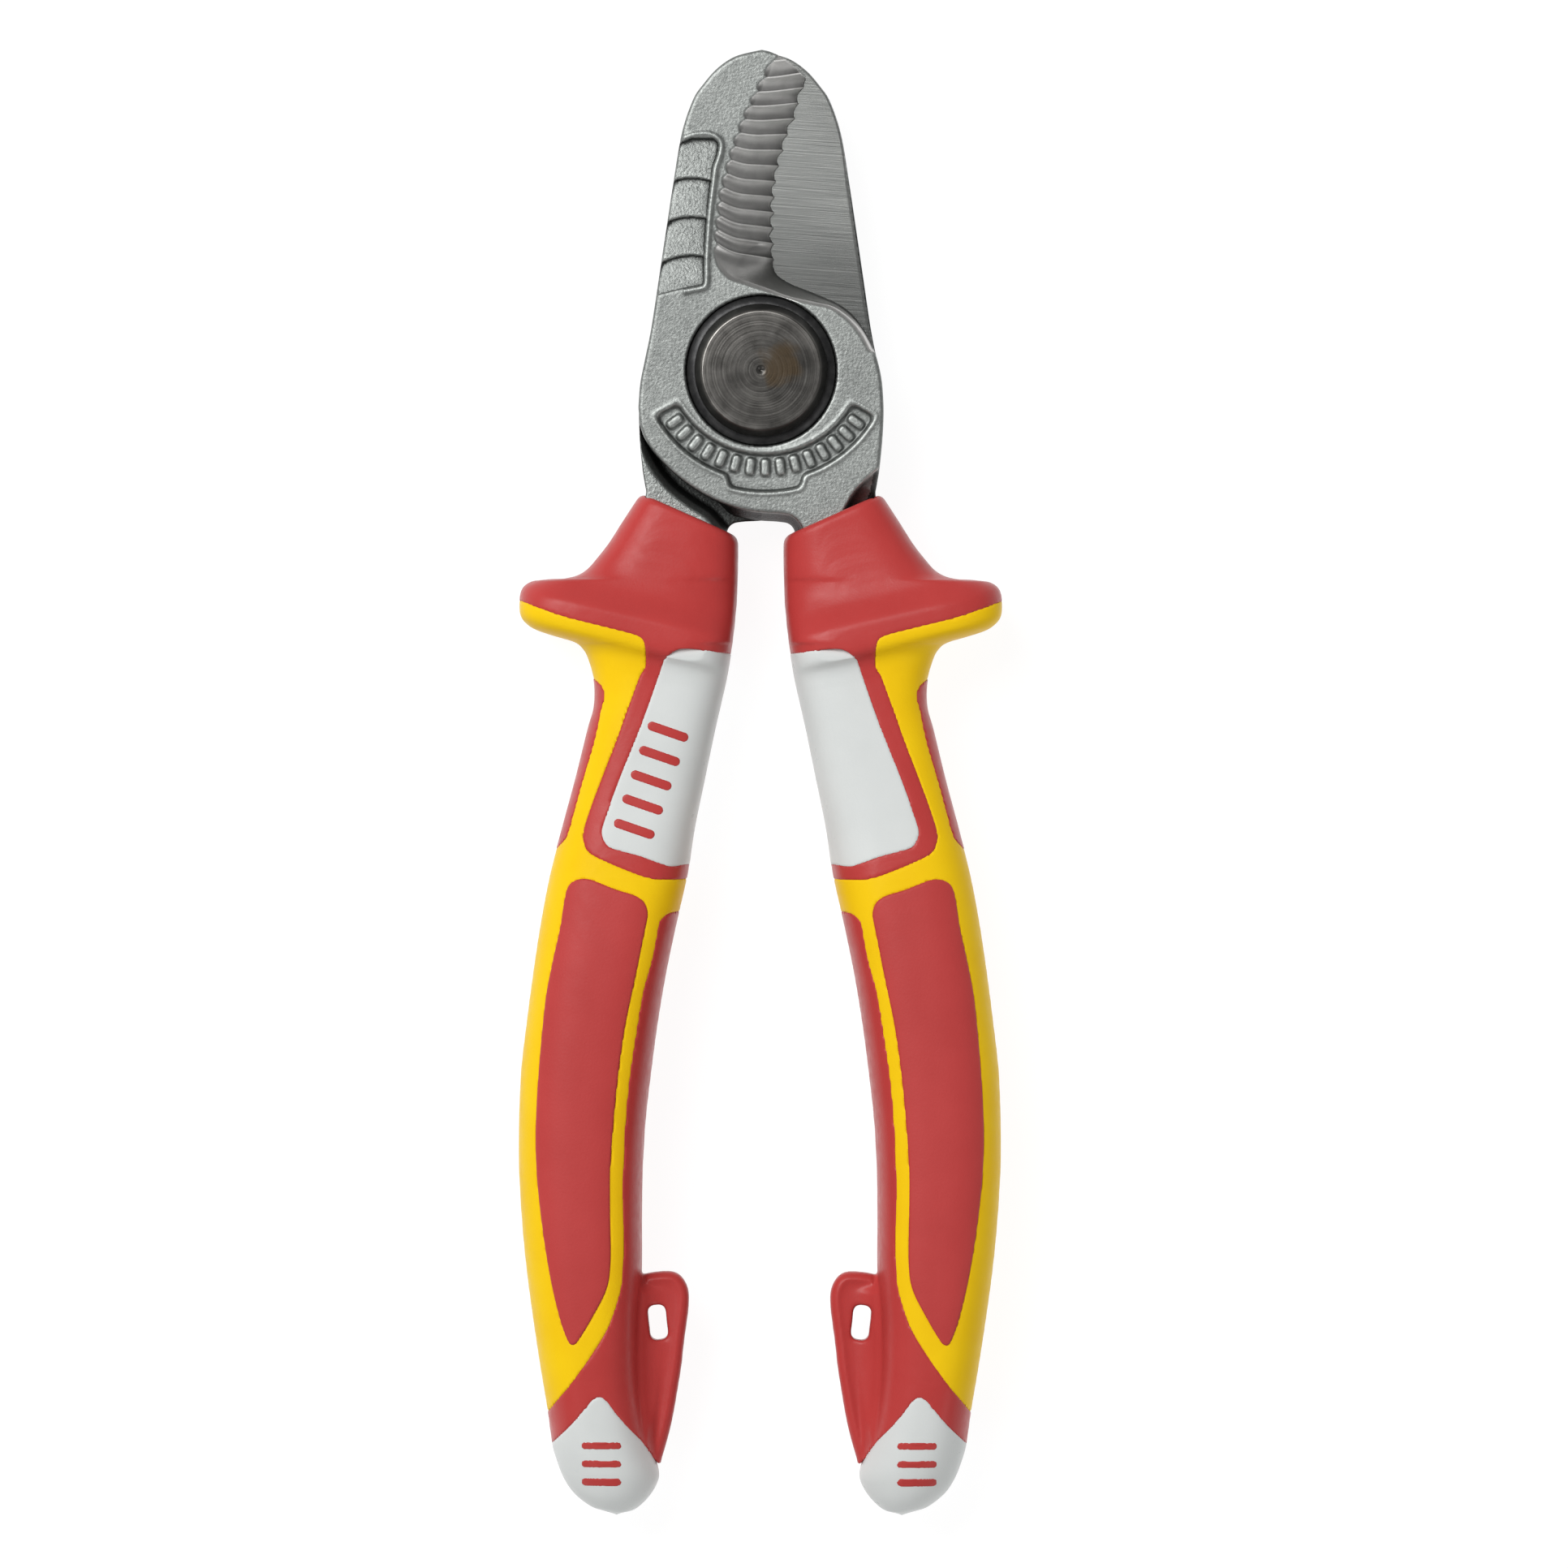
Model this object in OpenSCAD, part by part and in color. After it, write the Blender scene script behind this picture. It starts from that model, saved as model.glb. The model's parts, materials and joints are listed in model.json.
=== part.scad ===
// Insulated one-hand cable cutter: two forged levers on one bolt, each with a
// moulded grip. The tool lies flat, its tip towards +Y and its bolt along Z.
// Grip and lever shapes are drawn about the bolt's axis for the right-hand side.

/* [Head] */
// Bolt axis to the tip of the jaws
jaw_len = 35; // [30:0.5:42]
// Width of the head across the bolt
head_w = 26.8; // [25:0.2:32]
// Thickness of each lever's plate
plate_t = 5.2; // [4.2:0.1:6.2]
// Radius of the round boss about the bolt
boss_r = 14.7; // [14:0.1:15.5]
// Thickness of the forged tang inside a grip
tang_t = 6; // [4:0.2:6.6]
// Width of the tang at its far end
tang_end_w = 4.6; // [3:0.2:5.6]

/* [Cutting edge] */
// Spacing of the ground flutes along the edge
flute_pitch = 1.62; // [1.3:0.02:2]
// Radius of each flute
flute_r = 1.5; // [1.2:0.05:2]
// Number of flutes
flute_count = 14; // [8:1:16]
// Depth of the pressed grip steps beside the jaw
step_depth = 0.7; // [0.2:0.05:1]
// Depth of the sunk band under the bolt
band_depth = 0.45; // [0.2:0.05:1]

/* [Bolt] */
// Diameter of the bolt's bearing shank
pivot_d = 9; // [7:0.1:11]
// Diameter of the bolt's head where it meets its washer
bolt_head_d = 14.5; // [13:0.1:14.8]
// Height of the bolt's head above its washer
bolt_head_h = 1.9; // [1:0.1:2.2]
// Diameter of the dished washer under the head
washer_d = 16.2; // [15.4:0.1:17.4]
// Thickness of the washers
washer_t = 1; // [0.6:0.1:1.4]
// Nominal thread diameter
thread_d = 8; // [6:0.5:8.4]
// Width of the lock nut across its flats
nut_af = 13; // [11:0.5:14]

/* [Grips] */
// Length of each grip below the guard's top
grip_len = 97; // [85:1:120]
// Width of each grip at its belly
grip_w = 13.5; // [12:0.1:16]
// Height of the grips, and of the whole tool
grip_t = 19; // [17.6:0.2:23]
// Reach of each guard's rim from the bolt's axis
guard_reach = 26.4; // [24:0.2:30]
// Thickness of the red skin over the yellow core
skin_t = 2; // [1.4:0.1:2.1]
// Depth of the soft inlays and the label panel
inlay_t = 1.2; // [0.8:0.1:1.3]
// Wall of the end cap
cap_t = 1.8; // [1.2:0.1:2.4]
// Thickness of the tether fin
fin_t = 3.8; // [3:0.1:5]
// Width of the tether slot
slot_w = 1.9; // [1.5:0.1:2.1]
// Length of the tether slot
slot_l = 3.7; // [2.6:0.1:4]

/* [Fits] */
// Radial clearance of the turning joint
run_clear = 0.05; // [0.02:0.01:0.1]
// Gap between the two ground shear faces
shear_gap = 0.04; // [0.02:0.01:0.1]
// Gap between a boss and the other lever's step
boss_gap = 0.7; // [0.4:0.1:1]
// Gap between a moulding and what it is moulded on
mould_gap = 0.02; // [0.01:0.01:0.05]

/* [Hidden] */

steel = [0.62, 0.63, 0.62];
dark_steel = [0.36, 0.34, 0.32];
black_steel = [0.13, 0.13, 0.13];
red = [0.72, 0.22, 0.21];
yellow = [0.96, 0.80, 0.10];
white = [0.86, 0.87, 0.87];

// ---- the frame: origin under the middle of the tool's length and width ----
guard_y = -28;                      // where the grip's free length begins
tail_y = guard_y - grip_len;
pivot_y = -(jaw_len + tail_y) / 2;
half_t = grip_t / 2;

module placed() translate([0, pivot_y, half_t]) children();

// ---- curves ----
// A point on the Catmull-Rom curve from b to c.
function between(a, b, c, d, t) =
    0.5 * (2 * b + (c - a) * t + (2 * a - 5 * b + 4 * c - d) * t * t
           + (3 * b - a - 3 * c + d) * t * t * t);
// The open curve through all points, with n steps a span.
function curve(p, n = 3) =
    let (last = len(p) - 1)
    concat(
        [for (i = [0:last - 1], k = [0:n - 1])
            between(p[max(i - 1, 0)], p[i], p[i + 1], p[min(i + 2, last)], k / n)],
        [p[last]]
    );
// The closed curve through all points.
function loop(p, n = 3) =
    let (m = len(p))
    [for (i = [0:m - 1], k = [0:n - 1])
        between(p[(i + m - 1) % m], p[i], p[(i + 1) % m], p[(i + 2) % m], k / n)];

// ---- sizes that carry the drawn shapes along ----
drawn_jaw = 35;
drawn_head_w = 26.8;
drawn_throat = 8;
drawn_grip = 97;
drawn_grip_w = 13.5;
drawn_grip_t = 19;
drawn_reach = 26.4;
// A point of the head: wider with the head, longer with the jaw above the throat.
function head_at(p) = [
    p.x * head_w / drawn_head_w,
    p.y <= drawn_throat ? p.y
        : drawn_throat + (p.y - drawn_throat) * (jaw_len - drawn_throat) / (drawn_jaw - drawn_throat)
];
function head_points(p) = [for (q = p) head_at(q)];
// The grip's middle line, which the width is measured from.
middle_line = [[-13, 8.4], [-28, 10.6], [-55, 15.6], [-80, 19.2], [-95, 19.4], [-125, 15.4]];
function middle_x(y) = lookup(-y, [for (m = middle_line) [-m[0], m[1]]]);
// A point of the grip: wider, longer and further out with the grip's sizes.
function grip_at(p) =
    let (
        wide = lookup(-p.y, [[33, 1], [45, grip_w / drawn_grip_w]]),
        out = max(p.x - 17, 0) * (guard_reach - 17) / (drawn_reach - 17),
        x = p.y > -33 && p.x > 17 ? 17 + out
            : middle_x(p.y) + (p.x - middle_x(p.y)) * wide
    )
    [x, p.y > guard_y ? p.y : guard_y + (p.y - guard_y) * grip_len / drawn_grip];
function grip_points(p) = [for (q = p) grip_at(q)];

// ---- levers ----
step_r = boss_r + boss_gap;
throat_end = [8, 7.1];
// Outline of the jaw and boss plate, from the tip down its back and round the boss.
jaw_back = [
    [0, 35], [-2.8, 34.3], [-4.8, 33], [-6.5, 31.2], [-7.6, 29.4], [-8.7, 26],
    [-10.4, 15.3], [-12, 4.7], [-12.7, 1.2], [-13.2, -1.5], [-13.4, -4.2]
];
cutting_edge = [[5.2, 31.8], [3.8, 27.8], [2.6, 24.3], [1.9, 21.2], [1.5, 17.6], [1.6, 14]];
throat = [[1.7, 11.6], [2.6, 10.4], [5, 9.4]];
boss_side = [
    throat_end, [9.8, 5.9], [11.5, 3.9], [12.6, 1.4], [13.3, -1.6], [13.4, -4.5],
    [13.2, -8], [12.8, -11.4]
];
nose = [[5.2, 31.8], [4.4, 33], [3, 34], [1.6, 34.5], [0, 35]];
// The neck: its outer edge runs on from the boss, its inner edge from the crotch.
neck_out = [[12.8, -11.4], [12.3, -14], [13.2, -17], [14, -20]];
neck_in = [[6, -21], [4.9, -19], [4.1, -17.4], [3.3, -16], [1.6, -15.5], [-1, -15.3]];
// Middle line of the tang, from the neck to its end inside the grip.
tang_line = [[9.6, -19.5], [11.3, -30], [13.8, -44], [16.4, -58], [18.4, -72], [19.3, -88]];
tang_start_w = 8;
tang_end = len(tang_line) - 1;
function tang_w(i) = tang_start_w + (tang_end_w - tang_start_w) * i / tang_end;

module jaw_outline() {
    polygon(concat(
        head_points(curve(jaw_back)),
        [head_at([-6, -6]), [0, -2]],
        head_points([for (i = [len(boss_side) - 1:-1:0]) boss_side[i]]),
        head_points([for (i = [len(throat) - 1:-1:0]) throat[i]]),
        head_points([for (i = [len(cutting_edge) - 1:-1:0]) cutting_edge[i]]),
        head_points(curve(nose))
    ));
    intersection() {
        circle(r = boss_r, $fn = 96);
        translate([-head_w / 2, -boss_r - 1]) square([head_w, boss_r + 1]);
    }
}
module neck_outline() {
    difference() {
        polygon(concat(curve(neck_out), curve(neck_in), [[0, -10], head_at([12.8, -11.4])]));
        circle(r = step_r - 0.01, $fn = 96);
    }
}
module neck_plate() {
    polygon(concat(curve(neck_out), curve(neck_in), [[0, -10], [9, -4], head_at([12.8, -11.4])]));
}
module tang_outline(grow = 0) {
    left = [for (i = [0:tang_end]) grip_at(tang_line[i] + [-tang_w(i) / 2 - grow, 0])];
    right = [for (i = [tang_end:-1:0]) grip_at(tang_line[i] + [tang_w(i) / 2 + grow, 0])];
    polygon(concat(left, [grip_at(tang_line[tang_end] + [0, -tang_end_w / 2 - grow])], right));
}

// One flute: a cylinder whose lowest line runs down the bevel to the edge.
bevel_run = 6.3;
first_flute = 12.2;
edge_table = [for (i = [len(cutting_edge) - 1:-1:0])
    [head_at(cutting_edge[i]).y, head_at(cutting_edge[i]).x]];
module flute(y) {
    slope = atan2(plate_t, bevel_run);
    reach = 2 * plate_t + 4;             // long enough to leave both faces
    clear_w = 1.02 * flute_pitch;        // just meets the next flute
    translate([lookup(y, edge_table), y, 0]) rotate([0, slope - 90, 0]) translate([flute_r, 0, -3]) {
        cylinder(r = flute_r, h = reach, $fn = 48);
        translate([0, -clear_w / 2, 0]) cube([8, clear_w, reach]);
    }
}
// The plain ramp along the throat, from its line up to the face.
throat_angle = -35.5;
throat_slope = 64;
module bevel() {
    for (i = [0:flute_count - 1]) flute(first_flute + i * flute_pitch);
    translate(concat(head_at(throat[0]), 0)) rotate([0, 0, throat_angle]) rotate([-throat_slope, 0, 0])
        translate([-1.2, -9, 0]) cube([10, 10, 6]);
}
// The grip steps: sunk panels along the jaw's back, deeper at their upper end.
step_rows = [[24.9, 4.9], [20.7, 5.4], [16.5, 5.8], [12.3, 6]];
step_h = 3.7;
step_fall = 0.6;                     // share of the depth that a step rises by over its height
module grip_steps() {
    for (s = step_rows)
        let (top = head_at([0, s[0]]).y)
        translate([-head_w / 2 - 1, top - step_h, plate_t])
            rotate([atan2(step_depth * step_fall, step_h), 0, 0])
                translate([0, 0, -step_depth])
                    cube([head_w / 2 + 1 - s[1], step_h, plate_t]);
}
// The sunk band, an arc under the bolt with a tab below its middle.
band_centre = [0.4, 1.7];
band_in = 10.75;
band_out = 13.7;
band_half = 61;
tab_w = 8.4;
tab_r = 14.9;
module band() {
    reach = 3 * band_out;                // past the band on every side
    translate(concat(band_centre, plate_t - band_depth)) linear_extrude(plate_t) {
        intersection() {
            difference() {
                circle(r = band_out, $fn = 96);
                circle(r = band_in, $fn = 96);
            }
            polygon([[0, 0], reach * [-sin(band_half), -cos(band_half)], [0, -2 * reach],
                     reach * [sin(band_half), -cos(band_half)]]);
        }
        intersection() {
            circle(r = tab_r, $fn = 96);
            translate([-tab_w / 2, -tab_r]) square([tab_w, tab_r - band_in - band_depth]);
        }
    }
}
counterbore = washer_t - 0.15;
nut_seat = 0.4;
bore_r = pivot_d / 2 + run_clear;
module lever(seat_r, seat_depth) {
    difference() {
        union() {
            translate([0, 0, shear_gap / 2]) linear_extrude(plate_t - shear_gap / 2) {
                jaw_outline();
                neck_plate();
            }
            translate([0, 0, -plate_t]) linear_extrude(2 * plate_t) neck_outline();
            translate([0, 0, -tang_t / 2]) linear_extrude(tang_t) tang_outline();
        }
        translate([0, 0, -plate_t]) cylinder(r = bore_r, h = 3 * plate_t, $fn = 72);
        translate([0, 0, plate_t - seat_depth]) cylinder(r = seat_r, h = plate_t, $fn = 72);
        bevel();
        grip_steps();
        band();
    }
}
seat_r = washer_d / 2 + 0.12;
module front_lever() color(steel) placed() lever(seat_r, counterbore);
module rear_lever() color(steel) placed() rotate([0, 180, 0]) lever(seat_r, counterbore);

// ---- bolt, washers and nut ----
head_edge = 0.7;                     // width of the bevel round the head's face
head_bevel_h = 1.2;
thread_edge = 0.5;
washer_z = plate_t - counterbore + 0.03;
clamp_z = washer_z + washer_t;
nut_h = half_t - clamp_z;            // the nut's face lies level with the grips' undersides
shank_end = -plate_t + 0.2;
thread_end = -half_t + 0.2;
punch_mark = 0.35;                   // depth of the centre mark
module pivot_bolt() color(dark_steel) placed() difference() {
    union() {
        intersection() {
            translate([0, 0, clamp_z]) cylinder(d = bolt_head_d, h = bolt_head_h, $fn = 72);
            translate([0, 0, clamp_z + bolt_head_h - head_bevel_h - plate_t])
                cylinder(
                    r1 = bolt_head_d / 2 + head_edge * plate_t / head_bevel_h,
                    r2 = bolt_head_d / 2 - head_edge,
                    h = plate_t + head_bevel_h,
                    $fn = 72
                );
        }
        translate([0, 0, shank_end])
            cylinder(d = pivot_d, h = clamp_z - shank_end, $fn = 72);
        translate([0, 0, thread_end + thread_edge])
            cylinder(d = thread_d, h = shank_end - thread_end - thread_edge, $fn = 72);
        translate([0, 0, thread_end])
            cylinder(d1 = thread_d - 2 * thread_edge, d2 = thread_d, h = thread_edge, $fn = 72);
    }
    translate([0, 0, clamp_z + bolt_head_h - punch_mark])
        cylinder(r1 = 0, r2 = 2 * punch_mark, h = 2 * punch_mark, $fn = 36);
}
washer_flat = 0.15;                  // the washer's flat past the bolt's head
washer_play = 0.02;
module washer_ring(rim) rotate_extrude($fn = 96)
    polygon([[bore_r, 0], [washer_d / 2, 0], [washer_d / 2, rim],
             [bolt_head_d / 2 + washer_flat, washer_t - washer_play],
             [bore_r, washer_t - washer_play]]);
module dished_washer() color(black_steel) placed()
    translate([0, 0, washer_z]) washer_ring(washer_t * 0.6);
module nut_washer() color(dark_steel) placed()
    translate([0, 0, -washer_z]) rotate([180, 0, 0]) washer_ring(washer_t * 0.85);
nut_chamfer = 0.4;
module lock_nut() color(dark_steel) placed() translate([0, 0, -half_t]) difference() {
    intersection() {
        cylinder(d = nut_af / cos(30), h = nut_h, $fn = 6);
        cylinder(r1 = nut_af / 2 - nut_chamfer, r2 = nut_af / 2 + nut_h * tan(60), h = nut_h, $fn = 72);
    }
    translate([0, 0, -nut_h]) cylinder(d = thread_d + 2 * run_clear, h = 3 * nut_h, $fn = 72);
}

// ---- grips, drawn for the right hand ----
// Sections down the grip: distance along Y, inner side, outer side, half thickness.
sections = [
    [-12.5, 3.4, 13.2, 6.6], [-16.6, 3.2, 15.3, 7], [-18.8, 2.7, 16.6, 7.2], [-20.6, 2.5, 18, 7.6],
    [-22.2, 2.5, 19.8, 8.1], [-22.9, 2.5, 24.2, 8.4], [-23.9, 2.6, 26.1, 8.8], [-25.6, 2.7, 26.4, 9.4],
    [-27.2, 2.8, 26.1, 9.5], [-28.3, 2.9, 24.7, 9.5], [-29.3, 3.1, 21, 9.1], [-31, 3.3, 19.1, 8.4],
    [-34, 3.8, 18.2, 7.8], [-40, 5.2, 19.1, 7.7], [-47, 6.6, 20.9, 7.8], [-53, 7.7, 22.5, 8.3],
    [-59, 8.9, 23.7, 9], [-66, 10.3, 24.9, 9.5], [-73, 11.4, 25.7, 9.5], [-81, 12.4, 26.3, 9.5],
    [-89, 12.9, 26.3, 9.5], [-96, 12.7, 25.7, 9.3], [-103, 12.5, 24.8, 8.9], [-110, 12.4, 23.8, 8.4],
    [-116, 11.8, 22.7, 7.7], [-120, 11, 21.3, 6.8], [-122.5, 12, 19.9, 5.4], [-124.2, 13.5, 18, 3.6],
    [-125, 15, 16.6, 1.6]
];
neck_wall = 1.4;
across = grip_t / drawn_grip_t;
function row_y(s) = grip_at([10, s[0]]).y;
// The same sections keyed by their place, for reading values between them.
inner_table = [for (s = sections) [-row_y(s), grip_at([s[1], s[0]]).x]];
outer_table = [for (s = sections) [-row_y(s), grip_at([s[2], s[0]]).x]];
thick_table = [for (s = sections) [-row_y(s), max(s[3] * across, s[0] > -24 ? plate_t + neck_wall : 0)]];
rolls = [-90:30:90];
// The grip's three faces, moved inwards by t on every side.
function inner_x(y, t) = max([for (a = rolls) lookup(-y - t * sin(a), inner_table) + t * cos(a)]);
function outer_x(y, t) = min([for (a = rolls) lookup(-y - t * sin(a), outer_table) - t * cos(a)]);
function thick(y, t) = min([for (a = rolls) lookup(-y - t * sin(a), thick_table) - t * cos(a)]);
function power(x, e) = sign(x) * pow(abs(x), e);
ring_points = 20;
squareness = 0.62;
function ring(y, t) =
    let (
        mid = (inner_x(y, t) + outer_x(y, t)) / 2,
        half = (outer_x(y, t) - inner_x(y, t)) / 2,
        h = thick(y, t)
    )
    [for (i = [0:ring_points - 1])
        let (a = 360 * i / ring_points)
        [mid + half * power(cos(a), squareness), y, h * power(sin(a), squareness)]];
module hull_of(p) hull() polyhedron(p, [[for (i = [0:len(p) - 1]) i]]);
// The whole grip's body, or the body under a skin of thickness t.
module grip_body(t = 0) {
    rows = [for (s = sections) if (row_y(s) >= tail_y + t) row_y(s)];
    stops = t > 0 ? concat(rows, [tail_y + t]) : rows;
    for (i = [0:len(stops) - 2]) hull_of(concat(ring(stops[i], t), ring(stops[i + 1], t)));
}
module through(p) translate([0, 0, -grip_t]) linear_extrude(2 * grip_t) polygon(p);

// Edges between the colours. Each runs from one side of the grip to the other.
sleeve_edge = [
    [26.3, -25.1], [21, -27], [16.6, -28.1], [13.9, -28.8], [12.7, -29.9], [12.5, -32.4], [13.5, -34.6],
    [16, -41.3], [18.4, -47.6], [19.3, -50.6], [18.6, -52.7], [16.5, -53.7], [13.4, -54.8], [10.9, -55.5],
    [8, -55.4]
];
label_edge = [
    [3, -30.9], [5.5, -30.7], [8, -30.4], [9.8, -30.8], [10.8, -32.2], [11.6, -34.9], [13.8, -40.3],
    [16.1, -46.7], [17.2, -50], [16.8, -51.6], [15.6, -52.3], [12.4, -53.3], [9.9, -54], [7.5, -53.8]
];
pad_edge = [
    [20.3, -55.8], [18.1, -55.7], [13.7, -57.3], [12.4, -58.4], [12.4, -60.4], [14.7, -71.3], [15.9, -81.1],
    [16.3, -90], [16.4, -97.6], [18.4, -103.4], [20.2, -106], [21.5, -104], [22.8, -98.4], [24, -90],
    [24.2, -79.1], [23.4, -69.5], [21.7, -60.7], [21.1, -57.2]
];
thumb_edge = [
    [18.6, -33.6], [17.3, -34.6], [17.2, -36], [18.3, -40.2], [20, -45.2], [20.9, -48.3], [21.8, -51.2]
];
tail_edge = [
    [8.3, -58.9], [10.1, -59.3], [11.1, -60.8], [12.7, -67.6], [14.2, -77.2], [14.9, -88.8], [14.9, -98.6],
    [16.2, -103.6], [18.4, -107.5], [20.7, -110.7], [23.6, -114.4]
];
cap_edge = [
    [23, -117.5], [20.5, -115], [18.5, -112.6], [17.5, -111.9], [16.5, -112.4], [14.8, -114.7],
    [12.7, -117], [11.4, -118.7], [10.4, -119.2]
];
side = 40;
module sleeve_area() {
    p = grip_points(curve(sleeve_edge, 2));
    through(concat([[-side, 0], [side, 0], [side, p[0].y]], p, [[-side, p[len(p) - 1].y]]));
}
module label_area() {
    p = grip_points(curve(label_edge, 2));
    through(concat([[-side, p[0].y]], p, [[-side, p[len(p) - 1].y]]));
}
module pad_area() through(grip_points(loop(pad_edge, 2)));
module thumb_area() {
    p = grip_points(curve(thumb_edge, 2));
    through(concat([[side, p[0].y]], p, [[side, p[len(p) - 1].y]]));
}
module cap_area() {
    p = grip_points(curve(cap_edge, 2));
    through(concat([[side, p[0].y]], p, [[-side, p[len(p) - 1].y], [-side, -2 * side + tail_y],
                   [side, -2 * side + tail_y]]));
}
module tail_area() {
    p = grip_points(curve(tail_edge, 2));
    difference() {
        through(concat([[-side, p[0].y]], p, [[side, p[len(p) - 1].y], [side, tail_y - 5],
                       [-side, tail_y - 5]]));
        cap_area();
    }
}
// The steel inside the grip, grown by the moulding's gap.
module steel_inside() {
    translate([0, 0, -plate_t - mould_gap]) linear_extrude(2 * (plate_t + mould_gap))
        offset(delta = mould_gap) neck_outline();
    translate([0, 0, -tang_t / 2 - mould_gap]) linear_extrude(tang_t + 2 * mould_gap)
        tang_outline(mould_gap);
}
// Everything above the slanted top of the sleeve, or of the core inside it.
sleeve_slant = 24;
core_top = 6.2;
module above(drop) translate(concat(grip_at([12.2, -13.8]), 0)) rotate([0, 0, sleeve_slant])
    translate([-side, -drop, -side]) cube(2 * side);

// The grip's skin, t deep, inside the area that follows it.
module skin(t) difference() {
    intersection() {
        grip_body();
        children();
    }
    grip_body(t);
}
// The same skin's room, which reaches past the surface, for cutting.
module room(t) difference() {
    children();
    grip_body(t + mould_gap);
}
module grip_core() difference() {
    grip_body();
    above(core_top);
    steel_inside();
    room(skin_t) sleeve_area();
    room(inlay_t) union() {
        pad_area();
        thumb_area();
        tail_area();
    }
    room(cap_t) cap_area();
}
module guard_sleeve() difference() {
    intersection() {
        grip_body();
        sleeve_area();
    }
    above(0);
    steel_inside();
    difference() {
        grip_body(skin_t);
        above(core_top - mould_gap);
    }
    room(inlay_t) label_area();
}
// Plain slanted bars, inlaid flush where a maker would print.
bar_depth = 0.5;
label_bars_at = grip_at([11.9, -44.7]);
cap_bars_at = grip_at([17.1, -119.2]);
module bars(at, tilt, count, pitch, length, thickness) translate(concat(at, 0)) rotate([0, 0, tilt])
    for (i = [0:count - 1])
        translate([-length / 2, (i - (count - 1) / 2) * pitch - thickness / 2, 0])
            cube([length, thickness, side]);
module label_bars_area()
    bars(label_bars_at, tilt = 19, count = 5, pitch = 2.8, length = 4.8, thickness = 1.1);
module cap_bars_area()
    bars(cap_bars_at, tilt = 0, count = 3, pitch = 2, length = 4.6, thickness = 0.9);
module label_bars() skin(bar_depth) label_bars_area();
module cap_bars() skin(bar_depth) cap_bars_area();
module label_panel(marked) difference() {
    skin(inlay_t) label_area();
    if (marked) room(bar_depth) label_bars_area();
}
module pad(front) skin(inlay_t) intersection() {
    pad_area();
    translate([-side, -4 * side, front ? 0 : -side]) cube([2 * side, 4 * side, side]);
}
module thumb_strip() skin(inlay_t) thumb_area();
module end_cap() difference() {
    skin(cap_t) cap_area();
    room(bar_depth) cap_bars_area();
}
// The thin fin that carries the tether slot.
fin_edge = [
    [14.2, -98.7], [12.4, -98.6], [9.6, -98.4], [7.9, -99.8], [7.8, -102.2], [8.3, -106.1], [9.1, -110.7],
    [10.1, -114.9], [10.8, -118.6]
];
slot_at = grip_at([11.1, -103.9]);
slot_tilt = -6;
module slot_shape() {
    translate([0, (slot_l - slot_w) / 2]) circle(d = slot_w, $fn = 24);
    translate([0, -(slot_l - slot_w) / 2]) circle(d = slot_w, $fn = 24);
    square([slot_w, slot_l - slot_w], center = true);
}
module tail() difference() {
    intersection() {
        union() {
            grip_body();
            translate([0, 0, -fin_t / 2]) linear_extrude(fin_t)
                polygon(concat(grip_points(curve(fin_edge, 2)), [grip_at([14.2, -116])]));
        }
        tail_area();
    }
    grip_body(inlay_t);
    translate(concat(slot_at, -fin_t)) rotate([0, 0, slot_tilt]) linear_extrude(2 * fin_t) slot_shape();
}

module right_side() placed() children();
module left_side() placed() mirror([1, 0, 0]) children();
module right_grip_core() color(yellow) right_side() grip_core();
module left_grip_core() color(yellow) left_side() grip_core();
module right_guard_sleeve() color(red) right_side() guard_sleeve();
module left_guard_sleeve() color(red) left_side() guard_sleeve();
module right_label_panel() color(white) right_side() label_panel(false);
module left_label_panel() color(white) left_side() label_panel(true);
module right_front_pad() color(red) right_side() pad(true);
module left_front_pad() color(red) left_side() pad(true);
module right_rear_pad() color(red) right_side() pad(false);
module left_rear_pad() color(red) left_side() pad(false);
module right_thumb_strip() color(red) right_side() thumb_strip();
module left_thumb_strip() color(red) left_side() thumb_strip();
module right_tail() color(red) right_side() tail();
module left_tail() color(red) left_side() tail();
module right_end_cap() color(white) right_side() end_cap();
module left_end_cap() color(white) left_side() end_cap();
module left_label_bars() color(red) left_side() label_bars();
module right_cap_bars() color(red) right_side() cap_bars();
module left_cap_bars() color(red) left_side() cap_bars();

rear_lever();
front_lever();
pivot_bolt();
dished_washer();
nut_washer();
lock_nut();
left_grip_core();
left_guard_sleeve();
left_label_panel();
left_front_pad();
left_rear_pad();
left_thumb_strip();
left_tail();
left_end_cap();
right_grip_core();
right_guard_sleeve();
right_label_panel();
right_front_pad();
right_rear_pad();
right_thumb_strip();
right_tail();
right_end_cap();
left_label_bars();
left_cap_bars();
right_cap_bars();
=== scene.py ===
import json
import math

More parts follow.
